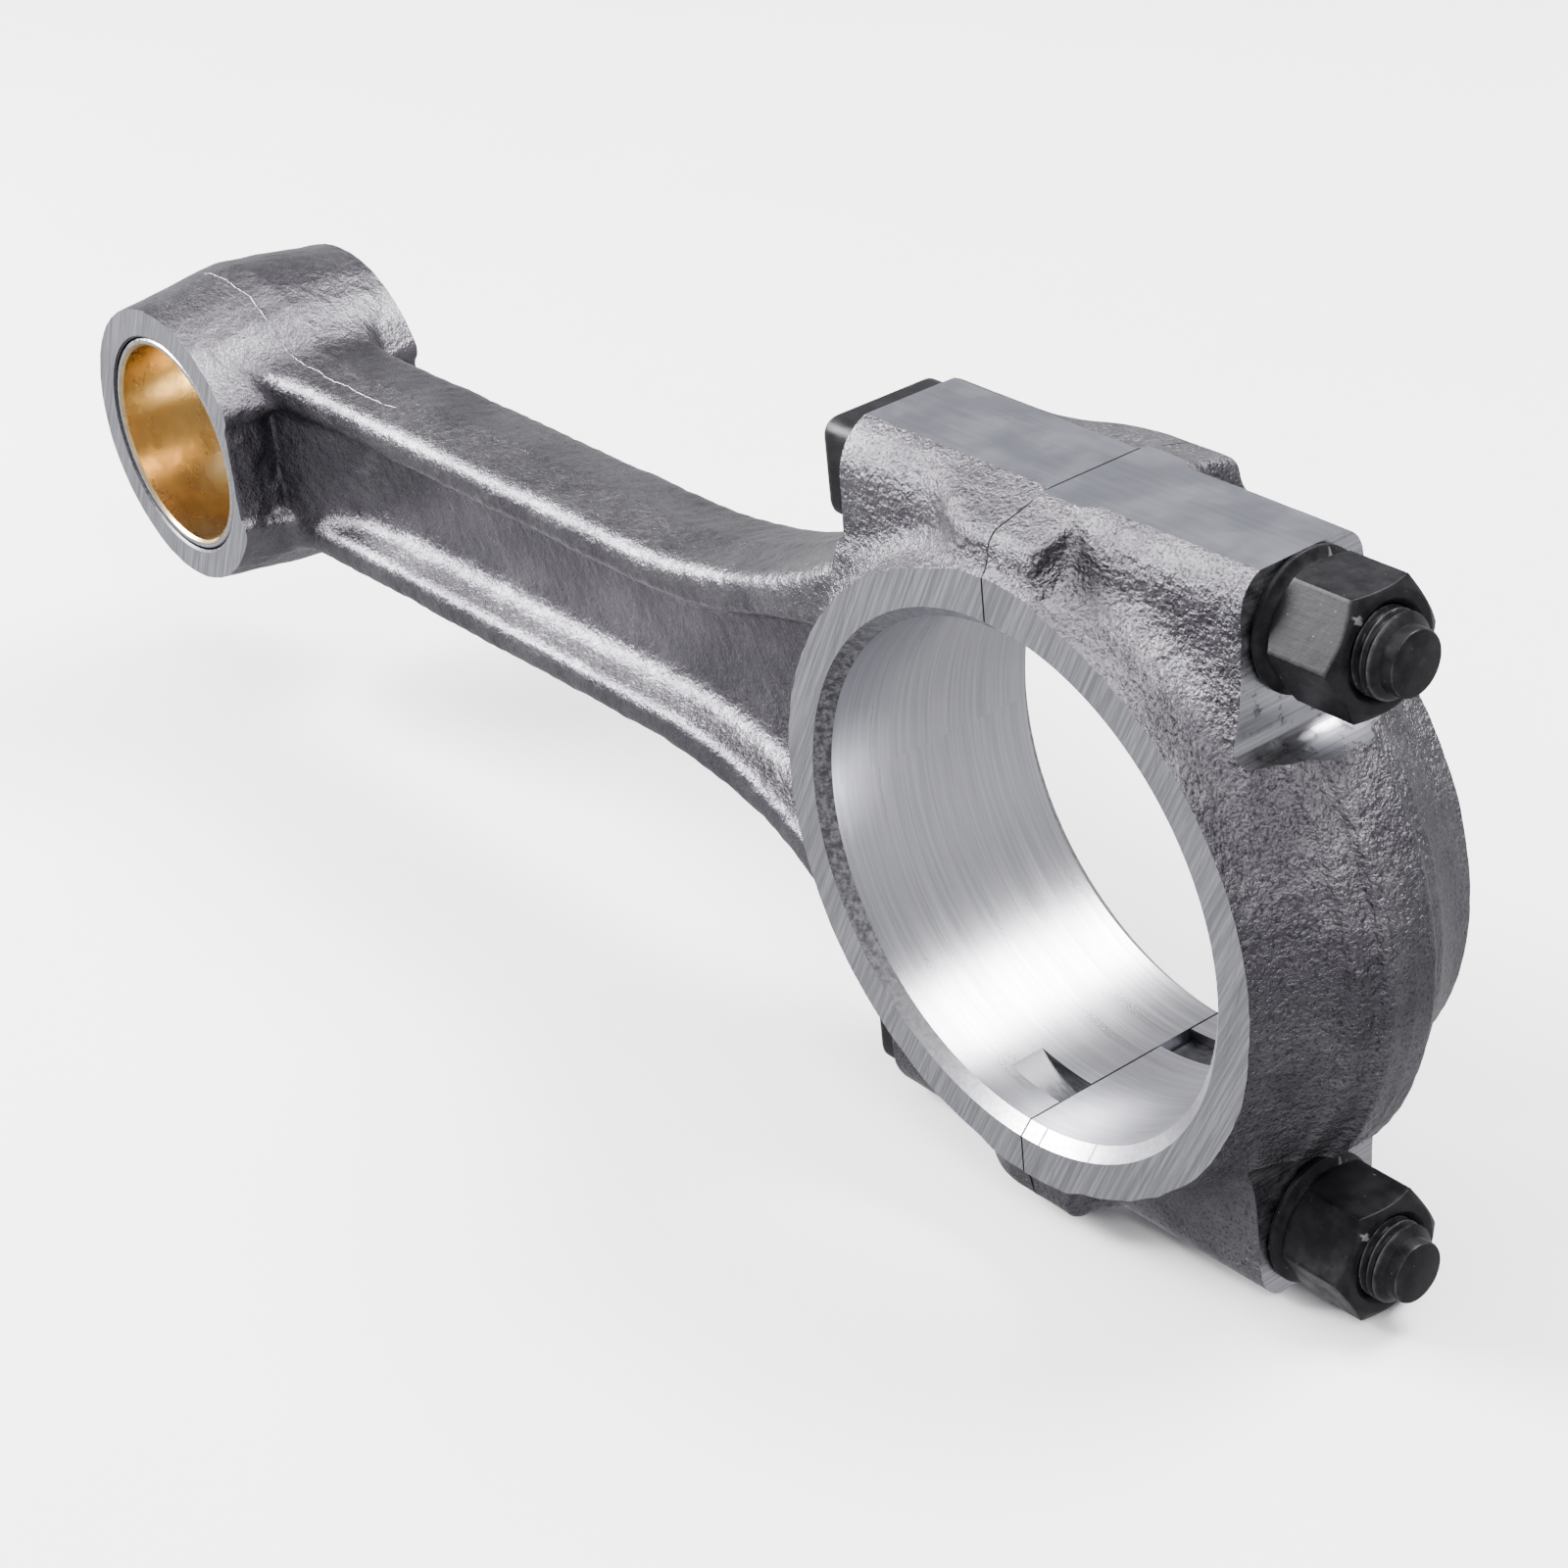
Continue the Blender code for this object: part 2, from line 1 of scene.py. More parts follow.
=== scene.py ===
"""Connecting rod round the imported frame: rough forgings with machined faces, a bronze-lined bush
and blackened bolts and nuts. Lengths in the shape functions are in millimetres.

Each forging starts as a field, negative inside the metal, made of drafted bodies that run into each
other with the round corners of a die. Its zero surface is meshed, and then it is machined: Boolean
cutters take off the ground, milled and bored faces and leave them their own materials.
"""

import math

import bmesh
import bpy
import numpy as np
from mathutils import Matrix, Vector


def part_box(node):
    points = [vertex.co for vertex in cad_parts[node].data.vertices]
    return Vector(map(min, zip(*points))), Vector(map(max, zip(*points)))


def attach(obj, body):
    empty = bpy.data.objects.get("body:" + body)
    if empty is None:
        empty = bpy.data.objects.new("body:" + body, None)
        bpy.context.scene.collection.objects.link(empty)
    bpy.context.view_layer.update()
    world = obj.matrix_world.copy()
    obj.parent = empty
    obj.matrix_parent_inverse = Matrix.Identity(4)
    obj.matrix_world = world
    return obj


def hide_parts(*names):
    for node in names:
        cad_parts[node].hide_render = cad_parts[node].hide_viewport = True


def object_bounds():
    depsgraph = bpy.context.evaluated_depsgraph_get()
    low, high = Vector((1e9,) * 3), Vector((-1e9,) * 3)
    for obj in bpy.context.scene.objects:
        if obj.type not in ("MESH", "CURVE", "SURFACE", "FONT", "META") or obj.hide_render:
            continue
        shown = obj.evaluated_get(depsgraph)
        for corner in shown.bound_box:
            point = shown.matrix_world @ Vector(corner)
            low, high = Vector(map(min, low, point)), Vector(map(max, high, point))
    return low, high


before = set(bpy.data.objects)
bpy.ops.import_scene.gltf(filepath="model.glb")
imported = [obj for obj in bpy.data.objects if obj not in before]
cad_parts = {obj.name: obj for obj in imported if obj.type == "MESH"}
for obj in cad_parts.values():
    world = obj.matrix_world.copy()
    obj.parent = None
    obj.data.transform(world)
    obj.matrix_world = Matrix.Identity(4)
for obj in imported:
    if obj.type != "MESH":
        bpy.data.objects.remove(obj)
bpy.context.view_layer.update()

MM = 0.001


def frame_box(node):
    """Lowest and highest corner of a CAD node, in millimetres."""
    return [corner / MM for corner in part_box(node)]


# Places that follow from the frame.
rod_high = frame_box("rod_body")[1]
cap_low, cap_high = frame_box("big_end_cap")
back_low, back_high = frame_box("small_end_bush_back")
lining_low, lining_high = frame_box("small_end_bush_lining")
bolt_low, bolt_high = frame_box("upper_bolt")
nut_low, nut_high = frame_box("upper_nut")

HALF_WIDTH = rod_high.y
PAD_Z = rod_high.z
PIN_X = (back_low.x + back_high.x) / 2
BUSH_RADIUS = (back_high.z - back_low.z) / 2
LINING_RADIUS = (lining_high.z - lining_low.z) / 2
BUSH_HALF_WIDTH = back_high.y
BOLT_Z = (bolt_low.z + bolt_high.z) / 2
HEAD_HALF_WIDTH, HEAD_HALF_HEIGHT = bolt_high.y, (bolt_high.z - bolt_low.z) / 2
HEAD_END_X, BOLT_TIP_X = bolt_low.x, bolt_high.x
NUT_SEAT_X, NUT_END_X = nut_low.x, nut_high.x
CAP_END_X = cap_high.x
GAP = 2 * cap_low.x
SEAT_X = NUT_SEAT_X - GAP

# Machined sizes.
CRANK_BORE = 36.5
BORE_CHAMFER = 1.8
THRUST_RADIUS = 43.4
BUSH_SEAT = BUSH_RADIUS + GAP
SEAT_CHAMFER = 0.35
PIN_BORE = 17.5
BOLT_HOLE = 5.8
HEAD_SEAT_EDGE_Z = 35.7
LEDGE_Z = 28.45
LEDGE_CORNER = 3.0
NOTCH_WIDTH, NOTCH_DEPTH, NOTCH_OFFSET, NOTCH_CUTTER = 5.8, 2.0, 9.2, 16.0
SCRIBE_X = (3.4, 13.0)

# Forged sizes.
DRAFT = math.tan(math.radians(7.5))
DRAFT_SCALE = math.cos(math.radians(7.5))
STOCK = 1.2
SMALL_END_RADIUS = BUSH_SEAT + 5.0
SMALL_END_FILLET = 22.0
SHANK_HALF_HEIGHT, SHANK_HALF_WIDTH = 15.7, 9.8
SHANK_EDGE = 2.8
SHANK_END_X = 10.0
FLARE_START_X, FLARE_RADIUS = -94.9, 108.0
WEB_HALF = 3.5
RECESS_HALF_HEIGHT = 10.4
RECESS_FLARE_X, RECESS_FLARE_RUN, RECESS_FLARE_SLOPE = -88.0, 20.0, 0.27
RECESS_WALL_SLOPE = 0.35
RECESS_START_X, RECESS_RAMP = -192.0, 2.9
RECESS_RING_RADIUS = THRUST_RADIUS + 1.6
ROOF_SLOPE, ROOF_SCALE = 0.25, 0.97
SIDE_LEAN = 0.035
PAD_HALF_WIDTH = 7.4
HEAD_SHOULDER = 12.3
NUT_SHOULDER = 10.1
BOSS_HALF_WIDTH = 17.7
BOSS_END_X, BOSS_LEAN, BOSS_EDGE = 7.4, 0.08, 2.2
RIB_RADIUS = 47.0
RIB_CENTRE_X = CAP_END_X - RIB_RADIUS
RIB_HALF_TOP, RIB_SLOPE = 4.1, 0.5
SHELF_DROP, SHELF_START, SHELF_HALF = 1.5, 4.9, 8.0
SKIRT_DROP = 3.3
ROUND_START, ROUND_STOCK = 5.2, 0.35


# ------------------------------------------------------------------ fields


def join(a, b, blend):
    """Union of two fields with a fillet."""
    share = np.clip(0.5 + 0.5 * (b - a) / blend, 0.0, 1.0)
    return b + (a - b) * share - blend * share * (1.0 - share)


def common(a, b, blend):
    """Intersection of two fields with a rounded edge."""
    return -join(-a, -b, blend)


def cut(a, b, blend):
    """Field a less field b, with a rounded edge."""
    return -join(-a, b, blend)


def drum(x, y, z, centre_x, radius):
    """Drafted disc round an axis along Y, widest at the middle plane."""
    side = (np.hypot(x - centre_x, z) - radius - (HALF_WIDTH - y) * DRAFT) * DRAFT_SCALE
    return common(side, y - HALF_WIDTH - STOCK, 1.0)


def smooth_step(value, start, end):
    """0 before the start, 1 after the end, and smooth between them."""
    share = np.clip((value - start) / (end - start), 0.0, 1.0)
    return share * share * (3.0 - 2.0 * share)


def shank_half_height(x):
    """Side view of the shank: a fillet from the small end, a straight stretch and the flare."""
    reach = SMALL_END_RADIUS + SMALL_END_FILLET
    level = SHANK_HALF_HEIGHT + SMALL_END_FILLET
    run = math.sqrt(reach**2 - level**2)
    fillet_x = PIN_X + run
    tangent_x = PIN_X + run * SMALL_END_RADIUS / reach
    back = np.clip(fillet_x - x, 0.0, fillet_x - tangent_x)
    fillet = SMALL_END_FILLET - np.sqrt(SMALL_END_FILLET**2 - back**2)
    on = np.clip(x - FLARE_START_X, 0.0, -SEAT_X - FLARE_START_X)
    flare = FLARE_RADIUS - np.sqrt(FLARE_RADIUS**2 - on**2)
    return SHANK_HALF_HEIGHT + fillet + flare


def shank_half_width(x):
    """Plan of the flanges: wider where they run into either end."""
    small = np.clip((-183.0 - x) / 18.0, 0.0, 1.15) ** 2.5 * 8.7
    big = smooth_step(x, -72.0, -40.0) * (HEAD_SHOULDER - SHANK_HALF_WIDTH)
    return SHANK_HALF_WIDTH + small + big


def shank(x, y, z):
    half_width = shank_half_width(x)
    top = (z - shank_half_height(x) - (half_width - y) * DRAFT) * DRAFT_SCALE
    ends = np.maximum(PIN_X - x, x - SHANK_END_X)
    return np.maximum(common(top, (y - half_width) * 0.97, SHANK_EDGE), ends)


def recess(x, y, z):
    """Hollow between the flanges: web floor, sloped walls, a ramp to the small end, the ring."""
    depth = np.maximum(SHANK_HALF_WIDTH - y, -0.5)
    run = np.clip(x - RECESS_FLARE_X, 0.0, RECESS_FLARE_RUN)
    on = np.maximum(x - RECESS_FLARE_X - RECESS_FLARE_RUN, 0.0)
    rise = run**2 * RECESS_FLARE_SLOPE / (2 * RECESS_FLARE_RUN) + on * RECESS_FLARE_SLOPE
    wall = (z - RECESS_HALF_HEIGHT - rise + depth * RECESS_WALL_SLOPE) * 0.94
    ramp = (RECESS_START_X + depth * RECESS_RAMP - x) / math.hypot(1.0, RECESS_RAMP)
    ring = RECESS_RING_RADIUS - np.hypot(x, z)
    plan = common(common(wall, ramp, 3.0), ring, 5.0)
    return common(plan, WEB_HALF - y, 3.2)


def roof(y, z):
    """Drafted top of the shoulders, which the side pads cut flat."""
    return (z - PAD_Z + (y - PAD_HALF_WIDTH) * ROOF_SLOPE) * ROOF_SCALE


def side(y, z, half_width):
    """Upright face of a shoulder, leaning out a little towards its foot."""
    return y - half_width - (PAD_Z - z) * SIDE_LEAN


def rounded_shoulder(y, z, half_width):
    """Shoulder whose whole top edge is one large round, from the side pad to the upright face."""
    radius = half_width + (PAD_Z - z) * SIDE_LEAN - ROUND_START
    across, up = y - ROUND_START, z - (PAD_Z + ROUND_STOCK - radius)
    outside = np.hypot(np.maximum(across, 0.0), np.maximum(up, 0.0))
    return outside + np.minimum(np.maximum(across, up), 0.0) - radius


def ridged_shoulder(y, z, half_width, edge):
    """Shoulder with a sloped flat roof and a narrow rounded edge, as at the parting plane."""
    return common(roof(y, z), side(y, z, half_width), edge)


def rod_forging(x, y, z):
    """Small end, I-section shank, upper half of the big end and its two shoulders."""
    y, z = np.abs(y), np.abs(z)
    body = join(drum(x, y, z, PIN_X, SMALL_END_RADIUS), shank(x, y, z), 1.6)
    body = cut(body, recess(x, y, z), 1.6)
    body = join(body, drum(x, y, z, 0.0, THRUST_RADIUS), 5.0)
    half_width = HEAD_SHOULDER + smooth_step(x, -19.0, -3.5) * (BOSS_HALF_WIDTH - HEAD_SHOULDER)
    ridged = smooth_step(x, -21.0, -9.0)
    block = ridged * ridged_shoulder(y, z, half_width, BOSS_EDGE)
    block = block + (1.0 - ridged) * rounded_shoulder(y, z, half_width)
    block = np.maximum(np.maximum(block, -SEAT_X - STOCK - x), 24.0 - z)
    return np.maximum(join(body, block, 4.0), x - 2.0)


def cap_forging(x, y, z):
    """Lower half of the big end, with the stepped rib round its outside and its two shoulders."""
    y, z = np.abs(y), np.abs(z)
    body = drum(x, y, z, 0.0, THRUST_RADIUS)
    over = np.maximum(np.hypot(x - RIB_CENTRE_X, z) - RIB_RADIUS, -9.0)
    foot = over + SKIRT_DROP
    skirt = common(foot, (y - SHELF_HALF - 0.4 + foot * 1.1) * 0.67, 1.5)
    shelf = common(over + SHELF_DROP + (y - SHELF_START) * 0.30,
                   (y - SHELF_HALF + (over + SHELF_DROP + 1.0) * 0.2) * 0.97, 0.7)
    crest = common(over, (y - RIB_HALF_TOP + over * RIB_SLOPE) * 0.9, 0.9)
    body = join(join(join(body, skirt, 5.0), shelf, 0.8), crest, 0.5)
    boss_end = x - BOSS_END_X - (PAD_Z - z) * BOSS_LEAN
    boss = common(ridged_shoulder(y, z, BOSS_HALF_WIDTH, BOSS_EDGE), boss_end, 1.4)
    lean = np.clip(x / SEAT_X, 0.0, 1.0)
    block = rounded_shoulder(y, z, NUT_SHOULDER + 1.2 * (1.0 - lean))
    block = np.maximum(block, x - SEAT_X - STOCK)
    blocks = np.maximum(join(boss, block, 2.0), 20.0 - z)
    return np.maximum(join(body, blocks, 4.0), -2.0 - x)


def waves(x, y, z, seed, count, shortest, longest):
    """Gentle random unevenness: a sum of plane waves with seeded directions."""
    random = np.random.default_rng(seed)
    total = 0.0
    for _ in range(count):
        direction = random.normal(size=3)
        direction *= 2 * math.pi / (np.linalg.norm(direction) * random.uniform(shortest, longest))
        along = x * direction[0] + y * direction[1] + z * direction[2]
        total = total + np.sin(along + random.uniform(0, 6.28))
    return total / math.sqrt(count)


def as_forged(field, seed):
    """The field with the waviness of a forged and shot-blasted surface."""
    def uneven(x, y, z):
        calm = 1.0 - 0.8 * smooth_step(np.abs(z), PAD_Z - 4.5, PAD_Z - 1.5)
        swell = waves(x, y, z, seed, 12, 9.0, 22.0) * 0.08
        dents = waves(x, y, z, seed + 1, 20, 2.2, 5.5) * 0.045
        return field(x, y, z) + (swell + dents) * calm
    return uneven


# ------------------------------------------------------------------ field to mesh


def surface_net(values, low, step):
    """Closed quad mesh of the zero level, with one point a cell, and quads facing out."""
    inside = values < 0.0
    corners = [(i, j, k) for i in (0, 1) for j in (0, 1) for k in (0, 1)]
    size = [n - 1 for n in values.shape]
    count = sum(
        inside[i:i + size[0], j:j + size[1], k:k + size[2]].astype(np.int8) for i, j, k in corners
    )
    cells = np.argwhere((count > 0) & (count < 8))
    total, hits = np.zeros((len(cells), 3)), np.zeros((len(cells), 1))
    for a in corners:
        for axis in range(3):
            if a[axis]:
                continue
            b = tuple(a[i] + (i == axis) for i in range(3))
            at_a, at_b = (values[tuple((cells + corner).T)] for corner in (a, b))
            crossed = (at_a < 0) != (at_b < 0)
            share = np.where(crossed, at_a / np.where(crossed, at_a - at_b, 1.0), 0.0)
            point = np.array(a, float) + np.outer(share, np.eye(3)[axis])
            total += point * crossed[:, None]
            hits += crossed[:, None]
    points = (cells + total / hits) * step + low
    number = np.full(size, -1, np.int64)
    number[tuple(cells.T)] = np.arange(len(cells))
    quads = []
    for axis in range(3):
        order = (axis, (axis + 1) % 3, (axis + 2) % 3)
        turned_in, turned_number = inside.transpose(order), number.transpose(order)
        i, j, k = np.argwhere(turned_in[:-1] != turned_in[1:]).T
        quad = np.stack([turned_number[i, j - 1, k - 1], turned_number[i, j, k - 1],
                         turned_number[i, j, k], turned_number[i, j - 1, k]], axis=1)
        leaving = turned_in[i, j, k]
        quads.append(np.where(leaving[:, None], quad, quad[:, ::-1]))
    return points, np.concatenate(quads)


def settle(points, field, rounds=3):
    """Moves the points onto the field's exact surface."""
    nudge = 0.05
    for _ in range(rounds):
        x, y, z = points.T
        value = field(x, y, z)
        slope = np.stack([
            field(x + nudge, y, z) - field(x - nudge, y, z),
            field(x, y + nudge, z) - field(x, y - nudge, z),
            field(x, y, z + nudge) - field(x, y, z - nudge),
        ], axis=1) / (2 * nudge)
        steepness = np.maximum((slope**2).sum(axis=1), 0.2)
        points = points - slope * np.clip(value / steepness, -0.5, 0.5)[:, None]
    return points


def forged_blank(name, field, low, high, step):
    """Mesh object of a forging before it is machined."""
    low, high = np.array(low), np.array(high)
    axes = [np.arange(low[i], high[i] + step, step) for i in range(3)]
    values = field(*np.meshgrid(*axes, indexing="ij", sparse=True))
    points, quads = surface_net(values, low, step)
    points = settle(points, field)
    mesh = bpy.data.meshes.new(name)
    mesh.from_pydata((points * MM).tolist(), [], quads.tolist())
    return new_object(name, mesh)


# ------------------------------------------------------------------ meshes and machining


def new_object(name, mesh):
    item = bpy.data.objects.new(name, mesh)
    bpy.context.scene.collection.objects.link(item)
    return item


def object_from(bm, name):
    """Object with the finished mesh; the bmesh is used up."""
    mesh = bpy.data.meshes.new(name)
    bm.to_mesh(mesh)
    bm.free()
    return new_object(name, mesh)


def set_material(item, materials, index=0):
    """Gives an object the whole list of material slots, and all its faces one of them."""
    item.data.materials.clear()
    for material in materials:
        item.data.materials.append(material)
    for polygon in item.data.polygons:
        polygon.material_index = index


def turned(name, profile, centre, direction, segments, face_materials=None):
    """Solid of revolution of (radius, height) points; a radius of 0 at both ends closes it."""
    bm = bmesh.new()
    rings = []
    for radius, height in profile:
        count = segments if radius > 0 else 1
        angles = [2 * math.pi * i / segments for i in range(count)]
        rings.append([bm.verts.new((radius * math.cos(a), radius * math.sin(a), height)) for a in angles])
    pairs = list(zip(rings, rings[1:]))
    if profile[0][0] > 0:
        pairs.append((rings[-1], rings[0]))
    for row, (first, second) in enumerate(pairs):
        for i in range(segments):
            j = (i + 1) % segments
            corners = [first[i % len(first)], second[i % len(second)],
                       second[j % len(second)], first[j % len(first)]]
            corners = [v for n, v in enumerate(corners) if v not in corners[:n]]
            face = bm.faces.new(corners)
            face.smooth = True
            if face_materials:
                face.material_index = face_materials[row % len(face_materials)]
    turn = Vector(direction).to_track_quat("Z", "Y").to_matrix().to_4x4()
    bm.transform(Matrix.Scale(MM, 4) @ Matrix.Translation(centre) @ turn)
    bmesh.ops.recalc_face_normals(bm, faces=bm.faces)
    return object_from(bm, name)


def block(name, low, high, material_index):
    """Box between two corners, with one finish."""
    bm = bmesh.new()
    low, high = Vector(low), Vector(high)
    stretch = Matrix.Translation((low + high) / 2) @ Matrix.Diagonal((*(high - low), 1.0))
    bmesh.ops.create_cube(bm, size=1.0, matrix=Matrix.Scale(MM, 4) @ stretch)
    for face in bm.faces:
        face.material_index = material_index
    return object_from(bm, name)


def extruded(name, outline, low_y, high_y, material_index):
    """Prism along Y of an (x, z) outline."""
    bm = bmesh.new()
    near = [bm.verts.new((x, low_y, z)) for x, z in outline]
    far = [bm.verts.new((x, high_y, z)) for x, z in outline]
    bm.faces.new(near)
    bm.faces.new(far[::-1])
    for i in range(len(outline)):
        j = (i + 1) % len(outline)
        bm.faces.new((near[j], near[i], far[i], far[j]))
    for face in bm.faces:
        face.material_index = material_index
    bmesh.ops.recalc_face_normals(bm, faces=bm.faces)
    bm.transform(Matrix.Scale(MM, 4))
    return object_from(bm, name)


def apply_boolean(item, others, operation):
    """One Boolean with all the others, which are then removed."""
    group = bpy.data.collections.new(item.name + "_cutters")
    bpy.context.scene.collection.children.link(group)
    for other in others:
        group.objects.link(other)
    modifier = item.modifiers.new("cut", "BOOLEAN")
    modifier.operation = operation
    modifier.solver = "MANIFOLD"
    modifier.operand_type = "COLLECTION"
    modifier.collection = group
    modifier.material_mode = "INDEX"
    bake_modifiers(item)
    for other in others:
        bpy.data.objects.remove(other)
    bpy.data.collections.remove(group)


def bake_modifiers(item):
    """Replaces the mesh by what its modifiers make of it."""
    depsgraph = bpy.context.evaluated_depsgraph_get()
    mesh = bpy.data.meshes.new_from_object(item.evaluated_get(depsgraph))
    item.modifiers.clear()
    old = item.data
    item.data = mesh
    bpy.data.meshes.remove(old)


def sharpen(item, angle):
    """Smooth shading, with sharp edges by angle and wherever two surface finishes meet."""
    mesh = item.data
    mesh.shade_smooth()
    mesh.set_sharp_from_angle(angle=math.radians(angle))
    bm = bmesh.new()
    bm.from_mesh(mesh)
    for edge in bm.edges:
        finishes = {face.material_index for face in edge.link_faces}
        if len(finishes) > 1:
            edge.smooth = False
    bm.to_mesh(mesh)
    bm.free()


# Material slots of the forgings, by index.
FORGED, GROUND, MILLED, HONED, BEVELLED, DRILLED, PROFILED = range(7)

# Reach of the cutters, past the object's sides, and the grids of the forgings' fields.
FAR = 90.0
ROD_GRID, CAP_GRID = 0.68, 0.4


def thrust_cutters():
    """Slabs that grind both sides flat."""
    return [
        block("slab", (PIN_X - FAR, HALF_WIDTH, -FAR), (FAR, HALF_WIDTH + FAR, FAR), GROUND),
        block("slab", (PIN_X - FAR, -HALF_WIDTH - FAR, -FAR), (FAR, -HALF_WIDTH, FAR), GROUND),
    ]


def pad_cutters():
    """Slabs that mill the two side pads."""
    return [
        block("pad", (-FAR, -FAR, PAD_Z), (FAR, FAR, PAD_Z + FAR), MILLED),
        block("pad", (-FAR, -FAR, -PAD_Z - FAR), (FAR, FAR, -PAD_Z), MILLED),
    ]


def bore_cutter(centre_x, radius, chamfer, segments, wall, bevel):
    """Through bore along Y with a chamfer at both ends."""
    end = HALF_WIDTH + 2.0
    mouth, land = radius + chamfer + 2.0, HALF_WIDTH - chamfer
    profile = [(0.0, end), (mouth, end), (radius, land), (radius, -land), (mouth, -end), (0.0, -end)]
    return turned("bore", profile, (centre_x, 0, 0), (0, 1, 0), segments, [wall, bevel, wall, bevel, wall])


def hole_cutter(side):
    """Bolt hole along X."""
    profile = [(0.0, FAR), (BOLT_HOLE, FAR), (BOLT_HOLE, -FAR), (0.0, -FAR)]
    return turned("hole", profile, (0, 0, BOLT_Z * side), (1, 0, 0), 48, [DRILLED])


def notch_cutter(y):
    """Edge of a disc mill, which sinks a tang notch into the bore's wall."""
    centre_z = -(CRANK_BORE + NOTCH_DEPTH - NOTCH_CUTTER)
    half = NOTCH_WIDTH / 2
    profile = [(0.0, half), (NOTCH_CUTTER, half), (NOTCH_CUTTER, -half), (0.0, -half)]
    return turned("notch", profile, (0, y, centre_z), (0, 1, 0), 96, [DRILLED])


def ledge_cutter(side):
    """Milled nut seat: upright seat face, rounded inner corner and level floor."""
    steps = 10
    corner_x, corner_z = SEAT_X + LEDGE_CORNER, LEDGE_Z + LEDGE_CORNER
    arc = [
        (corner_x - LEDGE_CORNER * math.cos(t), corner_z - LEDGE_CORNER * math.sin(t))
        for t in (math.pi / 2 * i / steps for i in range(steps + 1))
    ]
    outline = [(SEAT_X, FAR)] + arc + [(FAR, LEDGE_Z), (FAR, FAR)]
    return extruded("ledge", [(x, z * side) for x, z in outline], -FAR, FAR, PROFILED)


def make_rod(materials):
    """Rod forging, machined."""
    field = as_forged(rod_forging, 3)
    low, high = (PIN_X - 30.0, -23.0, -56.0), (4.0, 23.0, 56.0)
    rod = forged_blank("rod_forging", field, low, high, ROD_GRID)
    set_material(rod, materials, FORGED)
    cutters = thrust_cutters() + pad_cutters()
    for side in (1, -1):
        z = sorted((HEAD_SEAT_EDGE_Z * side, FAR * side))
        cutters.append(block("head_seat", (-FAR, -FAR, z[0]), (-SEAT_X, FAR, z[1]), MILLED))
        cutters.append(hole_cutter(side))
    cutters += [
        block("parting", (-GAP / 2, -FAR, -FAR), (FAR, FAR, FAR), MILLED),
        bore_cutter(0.0, CRANK_BORE, BORE_CHAMFER, 240, HONED, BEVELLED),
        bore_cutter(PIN_X, BUSH_SEAT, SEAT_CHAMFER, 160, DRILLED, DRILLED),
        notch_cutter(-NOTCH_OFFSET),
    ]
    apply_boolean(rod, cutters, "DIFFERENCE")
    sharpen(rod, 32)
    return rod


def make_cap(materials):
    """Cap forging, machined."""
    field = as_forged(cap_forging, 11)
    low, high = (-4.0, -23.0, -56.0), (56.0, 23.0, 56.0)
    cap = forged_blank("cap_forging", field, low, high, CAP_GRID)
    set_material(cap, materials, FORGED)
    cutters = thrust_cutters() + pad_cutters()
    for side in (1, -1):
        cutters += [ledge_cutter(side), hole_cutter(side)]
    cutters += [
        block("parting", (-FAR, -FAR, -FAR), (GAP / 2, FAR, FAR), MILLED),
        bore_cutter(0.0, CRANK_BORE, BORE_CHAMFER, 240, HONED, BEVELLED),
        notch_cutter(NOTCH_OFFSET),
    ]
    apply_boolean(cap, cutters, "DIFFERENCE")
    sharpen(cap, 32)
    return cap


# ------------------------------------------------------------------ bush


def make_bush(back_material, lining_material):
    """Steel back with broken edges, and a thin bronze lining chamfered at its mouth."""
    half, edge, mouth = BUSH_HALF_WIDTH, 0.25, 0.45
    inner = LINING_RADIUS + 0.04
    back = turned("bush_back", [
        (inner, half), (BUSH_RADIUS - edge, half), (BUSH_RADIUS, half - edge),
        (BUSH_RADIUS, edge - half), (BUSH_RADIUS - edge, -half), (inner, -half),
    ], (PIN_X, 0, 0), (0, 1, 0), 180)
    lining = turned("bush_lining", [
        (PIN_BORE + mouth, half), (LINING_RADIUS, half), (LINING_RADIUS, -half),
        (PIN_BORE + mouth, -half), (PIN_BORE, mouth - half), (PIN_BORE, half - mouth),
    ], (PIN_X, 0, 0), (0, 1, 0), 180)
    for item, material in ((back, back_material), (lining, lining_material)):
        item.data.materials.append(material)
        sharpen(item, 30)
    return back, lining


# ------------------------------------------------------------------ bolts and nuts

THREAD_PITCH = 1.25
THREAD_DEPTH = 0.62
THREAD_CREST = 5.44
NUT_MINOR = 5.5
THREAD_LENGTH = 27.0
BOLT_SHANK = 5.5
SHANK_IN_HEAD = 3.0
DOG_RADIUS, DOG_LENGTH, DOG_EDGE = 4.25, 1.9, 0.35
NUT_HALF_FLATS = 8.0
NUT_FACE = 7.65
NUT_COUNTERSINK = 0.9
COLLAR_RADIUS, COLLAR_HEIGHT, COLLAR_CONE = 9.2, 0.8, 1.5
HEX_CHAMFER = math.tan(math.radians(30))


def thread_depth(x, angle):
    """How far a right-hand thread along +X is cut at a place, between 0 and THREAD_DEPTH."""
    phase = (x / THREAD_PITCH - angle / (2 * math.pi)) % 1.0
    ramp = abs(2.0 * phase - 1.0)
    return THREAD_DEPTH * min(1.0, max(0.0, (ramp - 0.15) / 0.6))


